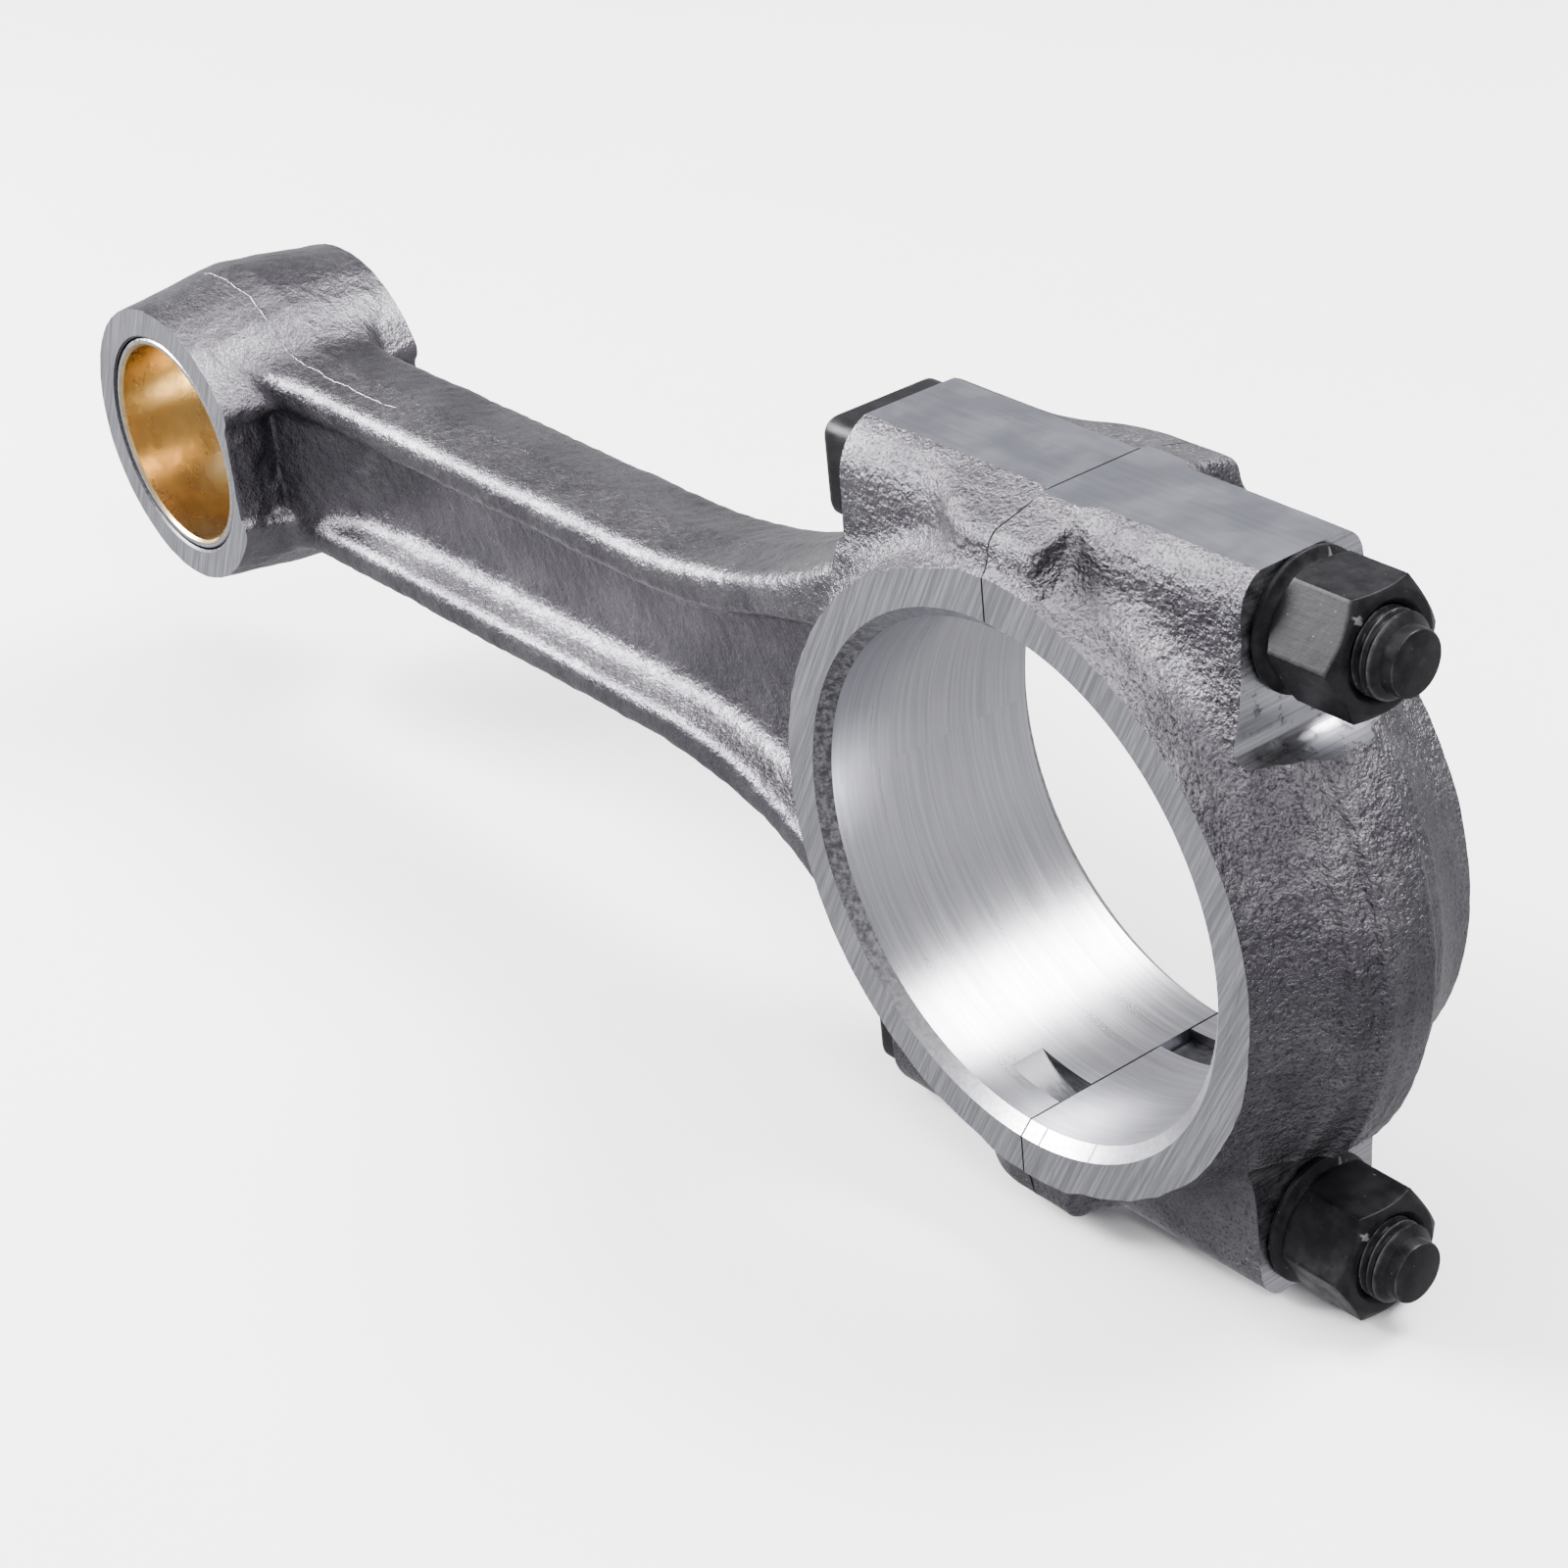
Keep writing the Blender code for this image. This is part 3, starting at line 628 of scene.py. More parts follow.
def columns_mesh(name, columns, closed_profile):
    """Skin through columns of equally many points round an axis, capped if the profile is open."""
    bm = bmesh.new()
    grid = [[bm.verts.new(point) for point in column] for column in columns]
    rows = len(grid[0])
    for i, column in enumerate(grid):
        following = grid[(i + 1) % len(grid)]
        for r in range(rows if closed_profile else rows - 1):
            s = (r + 1) % rows
            bm.faces.new((column[r], following[r], following[s], column[s]))
    if not closed_profile:
        bm.faces.new([column[0] for column in grid][::-1])
        bm.faces.new([column[-1] for column in grid])
    bmesh.ops.recalc_face_normals(bm, faces=bm.faces)
    bm.transform(Matrix.Scale(MM, 4))
    return object_from(bm, name)


def around(x, radius, angle, z):
    """Point at a radius and an angle round the bolt's axis; the angle turns from +Y to +Z."""
    return (x, radius * math.cos(angle), z + radius * math.sin(angle))


def make_bolt(name, side, material):
    """Fitted bolt: block head, plain shank, rolled thread and a dog point."""
    z = BOLT_Z * side
    segments = 72
    dog_x = BOLT_TIP_X - DOG_LENGTH
    thread_end = dog_x - (THREAD_CREST - DOG_RADIUS) * 0.75
    thread_start = BOLT_TIP_X - THREAD_LENGTH
    rows = int((thread_end - thread_start) / (THREAD_PITCH / 10))
    columns = []
    for i in range(segments):
        angle = 2 * math.pi * i / segments
        column = [around(x, BOLT_SHANK, angle, z) for x in (-SEAT_X - SHANK_IN_HEAD, thread_start - 0.3)]
        for r in range(rows + 1):
            x = thread_start + (thread_end - thread_start) * r / rows
            fade = min(1.0, (x - thread_start) / 2.5, (thread_end - x) / 0.8 + 0.12)
            column.append(around(x, THREAD_CREST - thread_depth(x, angle) * fade, angle, z))
        column += [
            around(dog_x, DOG_RADIUS, angle, z),
            around(BOLT_TIP_X - DOG_EDGE, DOG_RADIUS, angle, z),
            around(BOLT_TIP_X - DOG_EDGE * 0.3, DOG_RADIUS - DOG_EDGE * 0.3, angle, z),
            around(BOLT_TIP_X, DOG_RADIUS - DOG_EDGE, angle, z),
        ]
        columns.append(column)
    bolt = columns_mesh(name, columns, closed_profile=False)
    head = bolt_head(z)
    apply_boolean(bolt, [head], "UNION")
    set_material(bolt, [material])
    sharpen(bolt, 38)
    return bolt


def rounded_rectangle(half_y, half_z, corner, steps=6):
    """Outline (y, z) of a rectangle with round corners."""
    points = []
    for quarter, (sign_y, sign_z) in enumerate(((1, 1), (-1, 1), (-1, -1), (1, -1))):
        for i in range(steps + 1):
            angle = math.pi / 2 * (quarter + i / steps)
            points.append((sign_y * (half_y - corner) + corner * math.cos(angle),
                           sign_z * (half_z - corner) + corner * math.sin(angle)))
    return points


def bolt_head(z):
    """Block head with round corners, a chamfered outer rim and a softened seat edge."""
    corner, rim, soft = 2.6, 0.9, 0.3
    seat_x = -SEAT_X - GAP
    layers = [
        (HEAD_END_X, 2.3), (HEAD_END_X, rim + 0.5), (HEAD_END_X, rim),
        (HEAD_END_X + rim * 0.3, rim * 0.4),
        (HEAD_END_X + rim, 0.0), (HEAD_END_X + rim + 0.5, 0.0), (seat_x - soft - 0.5, 0.0),
        (seat_x - soft, 0.0), (seat_x, soft), (seat_x, soft + 0.5),
    ]
    bm = bmesh.new()
    rings = []
    for x, inset in layers:
        outline = rounded_rectangle(HEAD_HALF_WIDTH - inset, HEAD_HALF_HEIGHT - inset, corner - inset)
        rings.append([bm.verts.new((x, y, z + height)) for y, height in outline])
    for ring, following in zip(rings, rings[1:]):
        for i in range(len(ring)):
            j = (i + 1) % len(ring)
            bm.faces.new((ring[i], ring[j], following[j], following[i]))
    bm.faces.new(rings[0])
    bm.faces.new(rings[-1][::-1])
    bmesh.ops.recalc_face_normals(bm, faces=bm.faces)
    bm.transform(Matrix.Scale(MM, 4))
    return object_from(bm, "head")


def nut_turn(node):
    """Angle of a hexagon corner of the CAD nut round the bolt's axis."""
    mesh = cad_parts[node].data
    low, high = frame_box(node)
    centre = (low + high) / 2
    best, angle = 0.0, 0.0
    for vertex in mesh.vertices:
        place = vertex.co / MM - centre
        if abs(place.x) < 3.0 and math.hypot(place.y, place.z) > best + 0.01:
            best, angle = math.hypot(place.y, place.z), math.atan2(place.z, place.y)
    return angle


def make_nut(name, side, turn, material):
    """Hexagon nut with a coned collar, chamfered corners and a threaded, countersunk hole."""
    z = BOLT_Z * side
    segments = 120
    hex_start = NUT_SEAT_X + COLLAR_CONE
    hole_start, hole_end = NUT_SEAT_X + 0.5, NUT_END_X - NUT_COUNTERSINK
    rows = int((hole_end - hole_start) / (THREAD_PITCH / 8))
    columns = []
    for i in range(segments):
        angle = turn + 2 * math.pi * i / segments
        off_flat = (i * 360 / segments) % 60 - 30
        corner = NUT_HALF_FLATS / math.cos(math.radians(off_flat))
        chamfer = max(0.0, corner - NUT_FACE) * HEX_CHAMFER
        foot_chamfer = chamfer * 1.4
        profile = [
            (NUT_END_X, NUT_MINOR + NUT_COUNTERSINK), (NUT_END_X, NUT_FACE),
            (NUT_END_X - chamfer, corner), (NUT_END_X - chamfer - 0.6, corner),
            (hex_start + foot_chamfer + 0.6, corner), (hex_start + foot_chamfer, corner),
            (hex_start, NUT_FACE),
            (NUT_SEAT_X + COLLAR_HEIGHT + 0.15, COLLAR_RADIUS - 0.5),
            (NUT_SEAT_X + COLLAR_HEIGHT - 0.1, COLLAR_RADIUS), (NUT_SEAT_X + 0.2, COLLAR_RADIUS),
            (NUT_SEAT_X, COLLAR_RADIUS - 0.2), (NUT_SEAT_X, NUT_MINOR + 0.5),
        ]
        for r in range(rows + 1):
            x = hole_start + (hole_end - hole_start) * r / rows
            fade = min(1.0, (x - hole_start) / 0.6, (hole_end - x) / 0.6)
            profile.append((x, NUT_MINOR + (THREAD_DEPTH - thread_depth(x, angle)) * fade))
        columns.append([around(x, radius, angle, z) for x, radius in profile])
    nut = columns_mesh(name, columns, closed_profile=True)
    nut.data.materials.append(material)
    sharpen(nut, 22)
    rounding = nut.modifiers.new("worn_edges", "BEVEL")
    rounding.width = 0.12 * MM
    rounding.segments = 2
    rounding.limit_method = "ANGLE"
    rounding.angle_limit = math.radians(24)
    bake_modifiers(nut)
    sharpen(nut, 40)
    return nut


# ------------------------------------------------------------------ materials


class Nodes:
    """Short names for building one material's node tree."""

    def __init__(self, name, roughness=0.5, metallic=1.0):
        self.material = bpy.data.materials.new(name)
        self.material.use_nodes = True
        self.tree = self.material.node_tree
        self.shader = self.tree.nodes["Principled BSDF"]
        self.shader.inputs["Metallic"].default_value = metallic
        self.shader.inputs["Roughness"].default_value = roughness
        self.place = self.add("ShaderNodeTexCoord").outputs["Object"]

    def add(self, kind, **settings):
        node = self.tree.nodes.new(kind)
        for key, value in settings.items():
            setattr(node, key, value)
        return node

    def link(self, source, socket):
        if isinstance(source, (int, float)):
            socket.default_value = source
        else:
            self.tree.links.new(source, socket)

    def stretched(self, scale, offset=(0.0, 0.0, 0.0), rotation=(0.0, 0.0, 0.0), place=None):
        """Object coordinates in millimetres, turned and scaled."""
        turn = self.add("ShaderNodeMapping", vector_type="POINT")
        turn.inputs["Rotation"].default_value = rotation
        self.link(place or self.place, turn.inputs["Vector"])
        stretch = self.add("ShaderNodeMapping", vector_type="POINT")
        stretch.inputs["Scale"].default_value = [s / MM for s in scale]
        stretch.inputs["Location"].default_value = offset
        self.link(turn.outputs["Vector"], stretch.inputs["Vector"])
        return stretch.outputs["Vector"]

    def noise(self, scale, detail=3.0, rough=0.55, offset=(0.0, 0.0, 0.0), rotation=(0, 0, 0), place=None):
        """Fractal noise, from 0 to 1, with scale in cycles a millimetre."""
        scale = (scale,) * 3 if isinstance(scale, (int, float)) else scale
        node = self.add("ShaderNodeTexNoise")
        node.inputs["Scale"].default_value = 1.0
        node.inputs["Detail"].default_value = detail
        node.inputs["Roughness"].default_value = rough
        self.link(self.stretched(scale, offset, rotation, place), node.inputs["Vector"])
        return node.outputs["Fac"]

    def math(self, operation, a, b=0.0, c=0.0):
        node = self.add("ShaderNodeMath", operation=operation)
        for value, socket in zip((a, b, c), node.inputs):
            self.link(value, socket)
        return node.outputs["Value"]

    def ramp(self, value, low, high, out_low=0.0, out_high=1.0):
        """Smooth step of a value between two limits."""
        node = self.add("ShaderNodeMapRange", interpolation_type="SMOOTHSTEP")
        for source, key in ((value, "Value"), (low, "From Min"), (high, "From Max"),
                            (out_low, "To Min"), (out_high, "To Max")):
            self.link(source, node.inputs[key])
        return node.outputs["Result"]

    def mix(self, share, a, b):
        """Mix of two colours."""
        node = self.add("ShaderNodeMix", data_type="RGBA")
        for source, socket in ((share, node.inputs["Factor"]), (a, node.inputs[6]), (b, node.inputs[7])):
            if isinstance(source, tuple):
                socket.default_value = (*source, 1.0)
            else:
                self.link(source, socket)
        return node.outputs[2]

    def parts(self):
        """x, y and z in millimetres."""
        node = self.add("ShaderNodeSeparateXYZ")
        self.link(self.stretched((1, 1, 1)), node.inputs["Vector"])
        return node.outputs["X"], node.outputs["Y"], node.outputs["Z"]

    def unrolled(self, centre_x, radius):
        """Place on the wall of a bore along Y, with the wall laid flat."""
        x, y, z = self.parts()
        turn = self.math("ARCTAN2", z, self.math("SUBTRACT", x, centre_x))
        flat = self.add("ShaderNodeCombineXYZ")
        self.link(self.math("MULTIPLY", turn, radius * MM), flat.inputs["X"])
        self.link(self.math("MULTIPLY", y, MM), flat.inputs["Y"])
        return flat.outputs["Vector"]

    def finish(self, colour, roughness=None, bumps=()):
        """Links colour and roughness, and stacks (height, distance in mm) bumps."""
        self.link(colour, self.shader.inputs["Base Color"])
        if roughness is not None:
            self.link(roughness, self.shader.inputs["Roughness"])
        normal = None
        for height, distance in bumps:
            bump = self.add("ShaderNodeBump")
            bump.inputs["Strength"].default_value = 1.0
            bump.inputs["Distance"].default_value = distance * MM
            self.link(height, bump.inputs["Height"])
            if normal is not None:
                self.link(normal, bump.inputs["Normal"])
            normal = bump.outputs["Normal"]
        if normal is not None:
            self.link(normal, self.shader.inputs["Normal"])
        return self.material


def forged_steel(name, flash_line):
    """Shot-blasted forging: orange peel, pitted grain that is coarser at the big end, and dull
    patches. The rod also has the thin line where its flash was trimmed.
    """
    n = Nodes(name)
    x, y, z = n.parts()
    grain = n.noise(2.0, 3.0, 0.65)
    peel = n.noise(0.80, 2.0, 0.5, offset=(4.0, 9.0, 2.0))
    patches = n.noise(0.07, 3.0, 0.6, offset=(1.0, 5.0, 3.0))
    scale_marks = n.noise(0.42, 3.0, 0.65, offset=(7.0, 1.0, 8.0))
    coarse = n.ramp(x, -65.0, -10.0, 0.45, 1.0)
    colour = n.mix(n.ramp(patches, 0.35, 0.68), (0.100, 0.094, 0.106), (0.165, 0.156, 0.171))
    colour = n.mix(n.ramp(scale_marks, 0.58, 0.78, 0.0, 0.6), colour, (0.055, 0.051, 0.058))
    pits = n.ramp(grain, 0.32, 0.52, 0.75, 0.0)
    colour = n.mix(n.math("MULTIPLY", pits, coarse), colour, (0.030, 0.028, 0.031))
    rough = n.ramp(n.noise(0.9, 3.0, 0.6), 0.3, 0.7, 0.27, 0.40)
    bumps = [(n.math("MULTIPLY", peel, coarse), 0.45), (n.math("MULTIPLY", grain, coarse), 0.34),
             (scale_marks, 0.06)]
    if flash_line:
        wander = n.noise((0.12, 0.0, 0.0), 3.0, 0.6, offset=(2.0, 0.0, 0.0))
        line_y = n.math("MULTIPLY_ADD", wander, 3.2, -6.1)
        off_line = n.math("ABSOLUTE", n.math("SUBTRACT", y, line_y))
        line = n.ramp(off_line, 0.03, 0.20, 1.0, 0.0)
        patchy = n.ramp(n.noise((0.35, 0.1, 0.1), 3.0, 0.6), 0.34, 0.5)
        on_top = n.math("MULTIPLY", n.ramp(z, 13.5, 14.5), n.ramp(x, -175.0, -150.0, 1.0, 0.0))
        there = n.math("MULTIPLY", on_top, patchy)
        line = n.math("MULTIPLY", line, there)
        colour = n.mix(n.math("MULTIPLY", line, 0.40), colour, (0.40, 0.35, 0.37))
        bumps.append((line, 0.15))
    return n.finish(colour, rough, bumps)


def ground_steel(name):
    """Face ground with a wheel: long oblique scratches over a light grey surface."""
    n = Nodes(name)
    angle = math.radians(62)
    streaks = n.noise((0.05, 1.0, 2.6), 4.0, 0.7, rotation=(0, angle, 0))
    crossing = (0, angle + 0.22, 0)
    scratches = n.noise((0.10, 1.0, 4.0), 2.0, 0.5, rotation=crossing, offset=(5.0, 1.0, 2.0))
    stains = n.noise(0.16, 4.0, 0.6, offset=(2.0, 7.0, 1.0))
    colour = n.mix(n.ramp(streaks, 0.36, 0.66), (0.27, 0.27, 0.292), (0.39, 0.39, 0.415))
    colour = n.mix(n.ramp(scratches, 0.60, 0.76, 0.0, 0.7), colour, (0.17, 0.17, 0.19))
    colour = n.mix(n.ramp(stains, 0.62, 0.75, 0.0, 0.25), colour, (0.16, 0.155, 0.172))
    rough = n.ramp(streaks, 0.3, 0.7, 0.34, 0.5)
    return n.finish(colour, rough, [(streaks, 0.03), (scratches, 0.03)])


def milled_steel(name):
    """Milled face: smooth bluish grey with faint feed lines and oily stains."""
    n = Nodes(name)
    feed = n.noise((0.05, 1.6, 0.05), 3.0, 0.6)
    stains = n.noise((0.12, 0.12, 0.12), 4.0, 0.62, offset=(3.0, 1.0, 6.0))
    spots = n.noise(0.5, 3.0, 0.6, offset=(8.0, 2.0, 1.0))
    colour = n.mix(n.ramp(feed, 0.3, 0.7), (0.240, 0.245, 0.285), (0.275, 0.280, 0.320))
    colour = n.mix(n.ramp(stains, 0.62, 0.80, 0.0, 0.25), colour, (0.14, 0.14, 0.165))
    colour = n.mix(n.ramp(spots, 0.70, 0.76, 0.0, 0.5), colour, (0.05, 0.05, 0.055))
    rough = n.ramp(stains, 0.3, 0.7, 0.34, 0.44)
    return n.finish(colour, rough, [(feed, 0.012), (spots, 0.01)])


def honed_steel(name):
    """Bored and honed wall: fine scratches that run round the bore."""
    n = Nodes(name)
    wall = n.unrolled(0.0, CRANK_BORE)
    hone = n.noise((0.03, 1.6, 1.0), 4.0, 0.68, place=wall)
    fine = n.noise((0.06, 6.0, 1.0), 2.0, 0.6, offset=(3.0, 1.0, 0.0), place=wall)
    bands = n.noise((0.02, 0.5, 1.0), 2.0, 0.5, offset=(1.0, 4.0, 0.0), place=wall)
    colour = n.mix(n.ramp(hone, 0.32, 0.7), (0.40, 0.40, 0.43), (0.53, 0.53, 0.56))
    colour = n.mix(n.ramp(fine, 0.58, 0.76, 0.0, 0.4), colour, (0.25, 0.25, 0.275))
    rough = n.ramp(bands, 0.3, 0.7, 0.27, 0.32)
    return n.finish(colour, rough, [(hone, 0.012), (fine, 0.01)])


def bevelled_steel(name):
    """Chamfer: turned bright, with dark speckled oil residue on the side towards the shank, and
    two short scribed strokes beside the joint.
    """
    n = Nodes(name)
    x, y, z = n.parts()
    speckle = n.noise(1.1, 4.0, 0.7, offset=(1.0, 2.0, 3.0))
    rings = n.noise(1.4, 3.0, 0.6, offset=(4.0, 2.0, 6.0))
    towards_shank = n.ramp(x, -32.0, -10.0, 1.0, 0.0)
    dirt = n.math("MULTIPLY", n.ramp(speckle, 0.28, 0.64, 0.35, 0.90), towards_shank)
    marks = [
        n.ramp(n.math("ABSOLUTE", n.math("SUBTRACT", x, at)), 0.10, 0.24, 1.0, 0.0) for at in SCRIBE_X
    ]
    lower_near = n.math("MULTIPLY", n.ramp(z, -30.0, -29.0, 1.0, 0.0), n.ramp(y, -1.0, 0.0, 1.0, 0.0))
    scribed = n.math("MULTIPLY", n.math("ADD", marks[0], marks[1]), lower_near)
    dirt = n.math("MAXIMUM", dirt, n.math("MULTIPLY", scribed, 0.7))
    colour = n.mix(n.ramp(rings, 0.3, 0.7), (0.36, 0.36, 0.385), (0.50, 0.50, 0.53))
    colour = n.mix(dirt, colour, (0.050, 0.047, 0.050))
    rough = n.ramp(dirt, 0.0, 1.0, 0.34, 0.6)
    return n.finish(colour, rough, [(rings, 0.01), (speckle, 0.02)])


def drilled_steel(name):
    """Inside of the bolt holes, the tang notches and the bush seat."""
    n = Nodes(name)
    lines = n.noise((0.15, 2.0, 2.0), 3.0, 0.6)
    colour = n.mix(n.ramp(lines, 0.3, 0.7), (0.06, 0.06, 0.065), (0.12, 0.12, 0.13))
    return n.finish(colour, n.ramp(lines, 0.3, 0.7, 0.35, 0.5), [(lines, 0.02)])


def profiled_steel(name):
    """Nut seat and its rounded corner: tool lines along Y, and dark spots of oil."""
    n = Nodes(name)
    lines = n.noise((2.4, 0.02, 2.4), 3.0, 0.7)
    spots = n.noise(0.45, 4.0, 0.65, offset=(3.0, 8.0, 2.0))
    colour = n.mix(n.ramp(lines, 0.36, 0.64), (0.30, 0.30, 0.325), (0.46, 0.46, 0.485))
    colour = n.mix(n.ramp(spots, 0.58, 0.70, 0.0, 0.75), colour, (0.07, 0.066, 0.07))
    return n.finish(colour, n.ramp(spots, 0.3, 0.7, 0.26, 0.42), [(lines, 0.035), (spots, 0.015)])


def turned_steel(name):
    """Bright end face and back of the bush."""
    n = Nodes(name)
    lines = n.noise(1.2, 3.0, 0.6)
    colour = n.mix(n.ramp(lines, 0.3, 0.7), (0.42, 0.42, 0.45), (0.56, 0.56, 0.59))
    return n.finish(colour, n.ramp(lines, 0.3, 0.7, 0.26, 0.4), [(lines, 0.012)])


def bronze(name):
    """Fine-bored bronze with smeared darker and lighter patches."""
    n = Nodes(name)
    wall = n.unrolled(PIN_X, PIN_BORE)
    bored = n.noise((0.05, 3.0, 1.0), 3.0, 0.6, place=wall)
    smears = n.noise((0.10, 0.16, 0.10), 4.0, 0.6, offset=(2.0, 3.0, 1.0), place=wall)
    clouds = n.noise(0.11, 3.0, 0.55, offset=(6.0, 1.0, 4.0))
    colour = n.mix(n.ramp(smears, 0.34, 0.66), (0.52, 0.37, 0.175), (0.80, 0.62, 0.34))
    colour = n.mix(n.ramp(clouds, 0.52, 0.74, 0.0, 0.5), colour, (0.34, 0.23, 0.11))
    colour = n.mix(n.ramp(bored, 0.62, 0.78, 0.0, 0.35), colour, (0.88, 0.72, 0.44))
    rough = n.ramp(smears, 0.3, 0.7, 0.30, 0.2)
    return n.finish(colour, rough, [(bored, 0.012), (clouds, 0.05)])


def black_oxide(name):
    """Oiled black oxide over steel, rubbed to metal on its edges and freckled with dust."""
    n = Nodes(name, metallic=0.55)
    n.shader.inputs["Specular IOR Level"].default_value = 0.25
    edges = n.add("ShaderNodeNewGeometry").outputs["Pointiness"]
    film = n.noise(0.35, 4.0, 0.62)
    drag = n.noise((0.25, 2.2, 2.2), 3.0, 0.6, offset=(2.0, 5.0, 1.0))
    freckles = n.noise(1.6, 2.0, 0.5, offset=(9.0, 4.0, 2.0))
    colour = n.mix(n.ramp(film, 0.32, 0.7), (0.005, 0.005, 0.0062), (0.013, 0.0125, 0.0145))
    colour = n.mix(n.ramp(drag, 0.58, 0.78, 0.0, 0.4), colour, (0.022, 0.0215, 0.024))
    colour = n.mix(n.ramp(freckles, 0.72, 0.78, 0.0, 0.7), colour, (0.12, 0.115, 0.11))
    worn = n.math("ADD", edges, n.math("MULTIPLY", n.math("SUBTRACT", film, 0.5), 0.06))
    colour = n.mix(n.ramp(worn, 0.535, 0.60, 0.0, 0.65), colour, (0.20, 0.19, 0.19))
    rough = n.ramp(film, 0.3, 0.7, 0.34, 0.5)
    return n.finish(colour, rough, [(film, 0.03), (drag, 0.015), (freckles, 0.01)])


# ------------------------------------------------------------------ stage


def area_light(name, place, aim, size, power):
    """Softbox at a place, turned to what it lights."""
    data = bpy.data.lights.new(name, "AREA")
    data.shape = "RECTANGLE"
    data.size, data.size_y = size
    data.energy = power
    lamp = bpy.data.objects.new(name, data)
    bpy.context.scene.collection.objects.link(lamp)
    lamp.location = place
    lamp.rotation_euler = (Vector(aim) - Vector(place)).to_track_quat("-Z", "Y").to_euler()


FLOOR_RADIUS, FLOOR_CLEARANCE = 6.0, 0.0002

# Brightness of the studio's walls, from straight down (0) over the horizon (0.5) to straight up (1).
WALL_GREYS = ((0.0, 0.60), (0.30, 0.85), (0.5, 0.95), (0.75, 0.60), (1.0, 0.45))

# Softboxes: direction and distance from the point that they light, size in metres and watts.
LIT_POINT = Vector((-0.05, 0.0, 0.0))
SOFTBOXES = (
    ("key_softbox", (-0.71, -0.47, 0.49), 1.15, (0.50, 0.50), 58.0),
    ("back_softbox", (0.22, 0.50, 0.83), 1.1, (0.55, 0.40), 30.0),
    ("front_softbox", (0.66, -0.28, 0.68), 1.2, (0.35, 0.35), 12.0),
    ("overhead", (-0.1, -0.1, 1.0), 1.5, (1.6, 1.6), 30.0),
)

# Camera: azimuth from straight ahead, elevation and roll in degrees, and the lens in millimetres.
CAMERA_ANGLES = (54.438, 29.4, -6.139)
CAMERA_TARGET = Vector((-0.08546, 0.00952, -0.02978))
CAMERA_DISTANCE = 0.5223
CAMERA_LENS, CAMERA_SENSOR = 78.148, 36.0


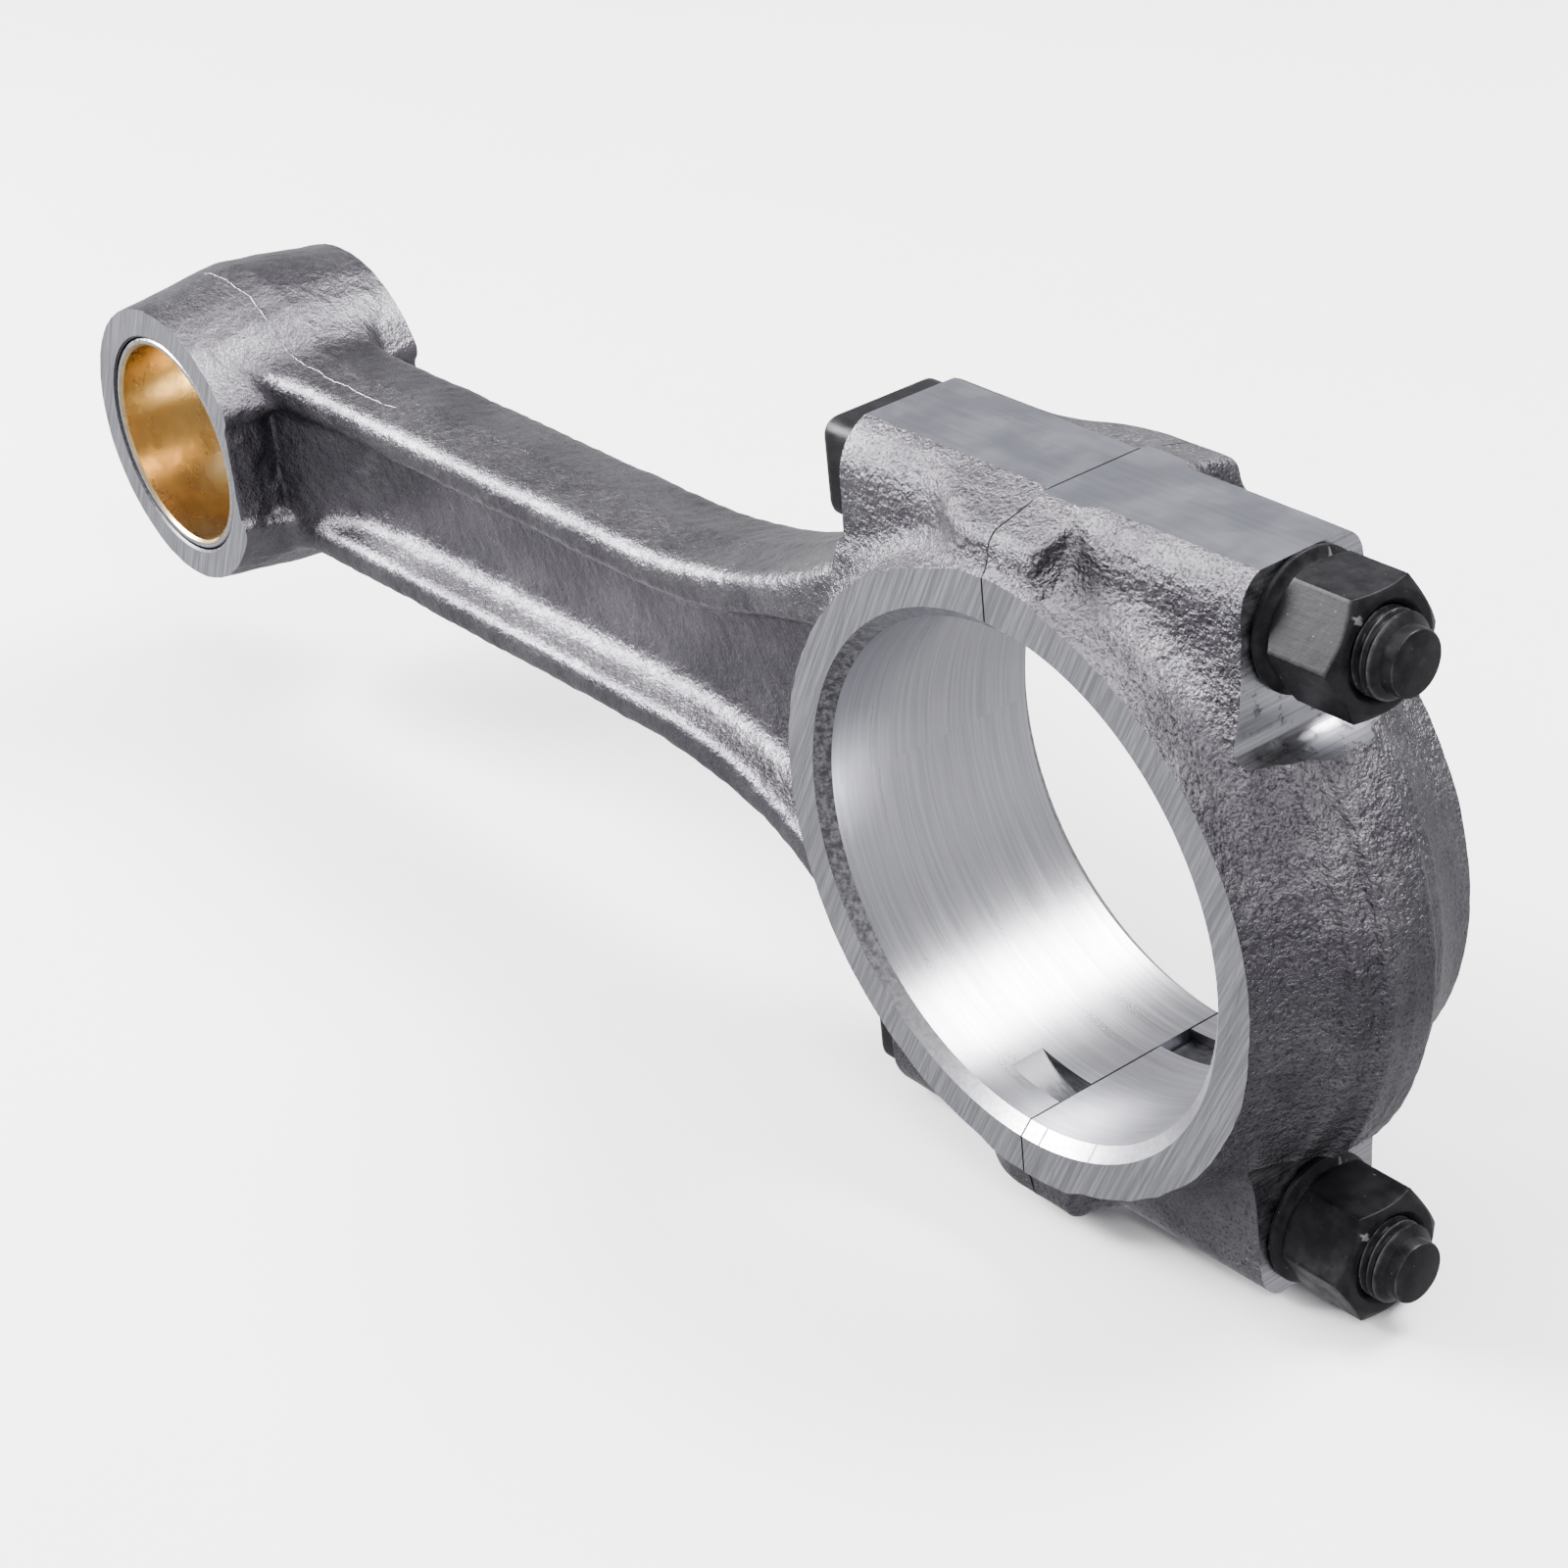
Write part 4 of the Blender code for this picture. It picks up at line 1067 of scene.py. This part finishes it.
def make_stage():
    """Wide pale floor under the lowest point, softboxes, and a pale studio all round."""
    floor_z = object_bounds()[0].z - FLOOR_CLEARANCE
    bm = bmesh.new()
    down = Matrix.Translation((0, 0, floor_z))
    bmesh.ops.create_circle(bm, cap_ends=True, segments=96, radius=FLOOR_RADIUS, matrix=down)
    floor = object_from(bm, "floor")
    paper = Nodes("paper", roughness=0.9, metallic=0.0)
    tooth = paper.noise(0.02, 3.0, 0.5)
    pale = paper.mix(tooth, (0.86, 0.86, 0.865), (0.90, 0.90, 0.905))
    floor.data.materials.append(paper.finish(pale))
    floor.visible_glossy = False

    world = bpy.data.worlds.new("studio")
    bpy.context.scene.world = world
    world.use_nodes = True
    tree = world.node_tree
    background = tree.nodes["Background"]
    direction = tree.nodes.new("ShaderNodeTexCoord").outputs["Generated"]
    height = tree.nodes.new("ShaderNodeSeparateXYZ")
    tree.links.new(direction, height.inputs["Vector"])
    from_below = tree.nodes.new("ShaderNodeMapRange")
    from_below.inputs["From Min"].default_value = -1.0
    tree.links.new(height.outputs["Z"], from_below.inputs["Value"])
    walls = tree.nodes.new("ShaderNodeValToRGB")
    tree.links.new(from_below.outputs["Result"], walls.inputs["Fac"])
    tree.links.new(walls.outputs["Color"], background.inputs["Color"])
    stops = walls.color_ramp.elements
    for position, grey in WALL_GREYS[1:-1]:
        stops.new(position)
    for stop, (position, grey) in zip(stops, WALL_GREYS):
        stop.position = position
        stop.color = (grey, grey, grey * 1.04, 1)

    for name, direction, distance, size, power in SOFTBOXES:
        area_light(name, LIT_POINT + Vector(direction) * distance, LIT_POINT, size, power)


def make_camera():
    """Camera over the cap's near side, looking down the rod, with a slight roll."""
    azimuth, elevation, roll = (math.radians(angle) for angle in CAMERA_ANGLES)
    level = math.cos(elevation)
    back = Vector((math.sin(azimuth) * level, -math.cos(azimuth) * level, math.sin(elevation)))
    data = bpy.data.cameras.new("camera")
    data.sensor_width = CAMERA_SENSOR
    data.lens = CAMERA_LENS
    camera = bpy.data.objects.new("camera", data)
    bpy.context.scene.collection.objects.link(camera)
    camera.location = CAMERA_TARGET + back * CAMERA_DISTANCE
    aim = (-back).to_track_quat("-Z", "Y").to_matrix()
    camera.rotation_euler = (aim @ Matrix.Rotation(roll, 3, "Z")).to_euler()
    bpy.context.scene.camera = camera


# ------------------------------------------------------------------ assembly


def place(piece, body, slot, node):
    """Puts a piece on its body, in the stead of its CAD node."""
    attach(piece, body)
    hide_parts(node)


machined = [ground_steel("ground_steel"), milled_steel("milled_steel"), honed_steel("honed_steel"),
            bevelled_steel("bevelled_steel"), drilled_steel("drilled_steel"),
            profiled_steel("profiled_steel")]
rod = make_rod([forged_steel("rod_forged_steel", True)] + machined)
place(rod, "rod", "forged_steel", "rod_body")
cap = make_cap([forged_steel("cap_forged_steel", False)] + machined)
place(cap, "cap", "forged_steel", "big_end_cap")

bush_back, bush_lining = make_bush(turned_steel("turned_steel"), bronze("bronze"))
place(bush_back, "rod", "bush_steel", "small_end_bush_back")
place(bush_lining, "rod", "bush_bronze", "small_end_bush_lining")

black = black_oxide("black_oxide")
for where, side in (("upper", 1), ("lower", -1)):
    bolt_node, nut_node = where + "_bolt", where + "_nut"
    bolt = make_bolt(where + "_fitted_bolt", side, black)
    place(bolt, bolt_node, "black_oxide_steel", bolt_node)
    nut = make_nut(where + "_collar_nut", side, nut_turn(nut_node), black)
    place(nut, nut_node, "black_oxide_steel", nut_node)

make_stage()
make_camera()
